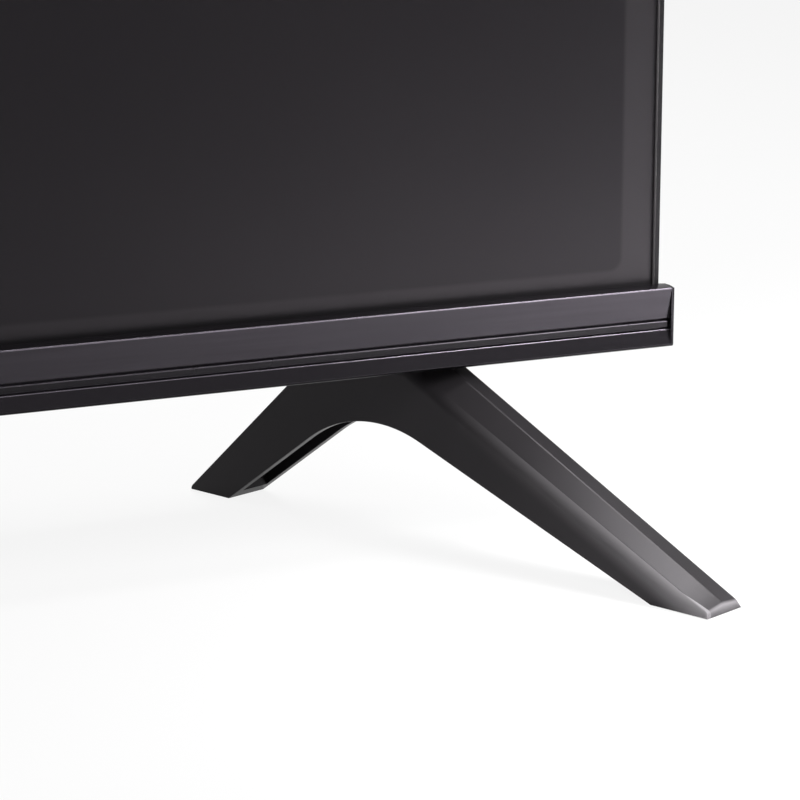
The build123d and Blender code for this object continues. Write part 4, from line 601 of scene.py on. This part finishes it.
def foot_stations():
    """Places along the foot, as (along, shrink of the outline, drop of its top, hollow)."""
    hollow_start, hollow_end = -ARCH_REAR + TOE, ARCH_FRONT - TOE
    places = {-REAR + (FRONT + REAR) * step / SECTIONS for step in range(1, SECTIONS)}
    places.update((-ARCH_REAR, ARCH_FRONT, SOFT_FROM, SQUARE_UNTIL))
    for height in (ridge_height, crest_height):
        places.add((height(0) - TOP) / (height(0) - height(1)))
    places.add((TOP - HEEL) / HEEL_SLOPE - REAR)
    places = sorted(place for place in places if -REAR + HEEL_ROOM < place < FRONT - TIP_ROOM)
    stations = [(place, 0.0, 0.0, hollow_start < place < hollow_end) for place in places]
    for edge, hollow_before in ((hollow_start, False), (hollow_end, True)):
        stations += [(edge, 0.0, 0.0, hollow_before), (edge, 0.0, 0.0, not hollow_before)]
    stations.sort(key=lambda station: station[0])
    for end, radius, sign in ((FRONT, TIP_RADIUS, 1), (-REAR, HEEL_RADIUS, -1)):
        ring = []
        half = END_STEPS / 2
        for step in range(END_STEPS + 1):
            angle = radians(90 * step / END_STEPS)
            shrink = NARROWING * max(0.0, (step - half) / half) ** 2
            ring.append((end - sign * radius * (1 - sin(angle)), shrink, radius * (1 - cos(angle)), False))
        stations = stations + ring if sign > 0 else ring[::-1] + stations
    return stations


def sweep(outlines, place):
    """A closed mesh through outlines of the same number of points, each placed in space."""
    work = bmesh.new()
    rings = [[work.verts.new(place(along, point)) for point in points] for along, points in outlines]
    count = len(rings[0])
    for ring, following in zip(rings, rings[1:]):
        for index in range(count):
            after = (index + 1) % count
            work.faces.new((ring[index], ring[after], following[after], following[index]))
    work.faces.new(rings[0][::-1])
    work.faces.new(rings[-1])
    return work


def make_foot(side, node):
    """One foot with a soft shoulder towards the middle of the set, a crest and a rounded tip."""
    outlines = []
    for along, shrink, drop, hollow in foot_stations():
        points = foot_outline(along, hollow)
        low = underside(along)
        high = max(point.y for point in points)
        for point in points:
            share = (point.y - low) / max(high - low, 0.01)
            point.y -= drop * share
            point.x += shrink * (1 - 2 * point.x / WIDTH)
        outlines.append((along, points))

    def place(along, point):
        across, height = point
        x = side * (FOOT_START[0] + along * sin(SPLAY) + across * cos(SPLAY))
        y = FOOT_START[1] - along * cos(SPLAY) + across * sin(SPLAY)
        return (x * MM, y * MM, height * MM)

    work = sweep(outlines, place)
    near, far, sunk = WALL, WIDTH - WALL, TOP - TONGUE_SUNK
    tongue = [Vector(point) for point in ((near, sunk), (near, TONGUE_TOP), (far, TONGUE_TOP), (far, sunk))]
    tongue_work = sweep([(TONGUE_REAR, tongue), (TONGUE_FRONT, tongue)], place)
    mesh = bpy.data.meshes.new("tongue")
    tongue_work.to_mesh(mesh)
    tongue_work.free()
    work.from_mesh(mesh)
    bpy.data.meshes.remove(mesh)

    bmesh.ops.remove_doubles(work, verts=work.verts, dist=JOINED)
    bmesh.ops.dissolve_degenerate(work, edges=work.edges, dist=NOTHING)
    bmesh.ops.recalc_face_normals(work, faces=work.faces)
    for edge in work.edges:
        edge.smooth = len(edge.link_faces) == 2 and edge.calc_face_angle() < SHARP_FROM
    piece = new_piece(node, work, "_form")
    even_normals(piece)
    claim(piece, node)


# Floor, world and lamps
def background(n, plain, white, shares):
    """White over a plain look, by the share that each kind of ray finds of it."""
    seen = n.add("LightPath")
    rays = ("Is Camera Ray", "Is Glossy Ray", "Is Transmission Ray")
    camera, gloss, clear = (n.math("MULTIPLY", seen.outputs[ray], share) for ray, share in zip(rays, shares))
    mix = n.add("MixShader")
    n.join(n.math("MAXIMUM", n.math("MAXIMUM", camera, gloss), clear), mix, "Fac")
    n.join(plain.outputs[0], mix, 1)
    n.join(white.outputs[0], mix, 2)
    return n.finish(mix)


def make_floor():
    mesh = bpy.data.meshes.new("floor")
    work = bmesh.new()
    bmesh.ops.create_grid(work, x_segments=1, y_segments=1, size=FLOOR_REACH)
    work.to_mesh(mesh)
    work.free()
    floor = bpy.data.objects.new("floor", mesh)
    bpy.context.collection.objects.link(floor)
    n = Nodes("studio_floor")
    matte = n.add("BsdfDiffuse", Color=FLOOR_COLOUR)
    white = n.add("Emission", Strength=1)
    floor.data.materials.append(background(n, matte, white, FLOOR_WHITE))


def make_world():
    world = bpy.data.worlds.new("studio")
    bpy.context.scene.world = world
    world.use_nodes = True
    n = Nodes("studio", world.node_tree, "OutputWorld")
    soft = n.add("Background", Color=(1, 1, 1, 1), Strength=WORLD_LIGHT)
    white = n.add("Background", Color=(1, 1, 1, 1), Strength=1)
    background(n, soft, white, WORLD_WHITE)


def make_lamp(name, place, target, size, power, spread=180):
    """A rectangular lamp aimed at a target, with its power in watts and its spread in degrees."""
    data = bpy.data.lights.new(name, "AREA")
    data.shape = "RECTANGLE"
    data.size, data.size_y = size
    data.energy = power
    data.spread = radians(spread)
    lamp = bpy.data.objects.new(name, data)
    bpy.context.collection.objects.link(lamp)
    lamp.location = place
    lamp.rotation_euler = (Vector(target) - Vector(place)).to_track_quat("-Z", "Y").to_euler()


make_camera()
dress_cad_nodes(make_materials())
make_foot(-1, "foot_left")
make_foot(1, "foot_right")
rounded_piece("bezel_frame", width=0.2, segments=2, change=narrow_lip)
rounded_piece("chin_bar", width=0.14, segments=2)
rounded_piece("chin_accent_strip", width=0.04, segments=1)
make_floor()
make_world()
make_lamp("floor_right", (0.78, -0.28, 0.3), (0.78, -0.22, 0.0), size=(0.5, 0.3), power=8, spread=100)
make_lamp("above_tip", (0.87, 0.0, 1.3), (0.44, -0.08, 0.0), size=(0.5, 0.6), power=15.5)
make_lamp("front_left", (-0.6, -1.3, 1.2), (0.45, -0.05, 0.05), size=(0.8, 0.8), power=15)
make_lamp("behind", (-0.8, 1.9, 1.3), (0.0, 0.05, 0.3), size=(1.2, 1.0), power=16)
bpy.context.scene.view_settings.view_transform = "Standard"
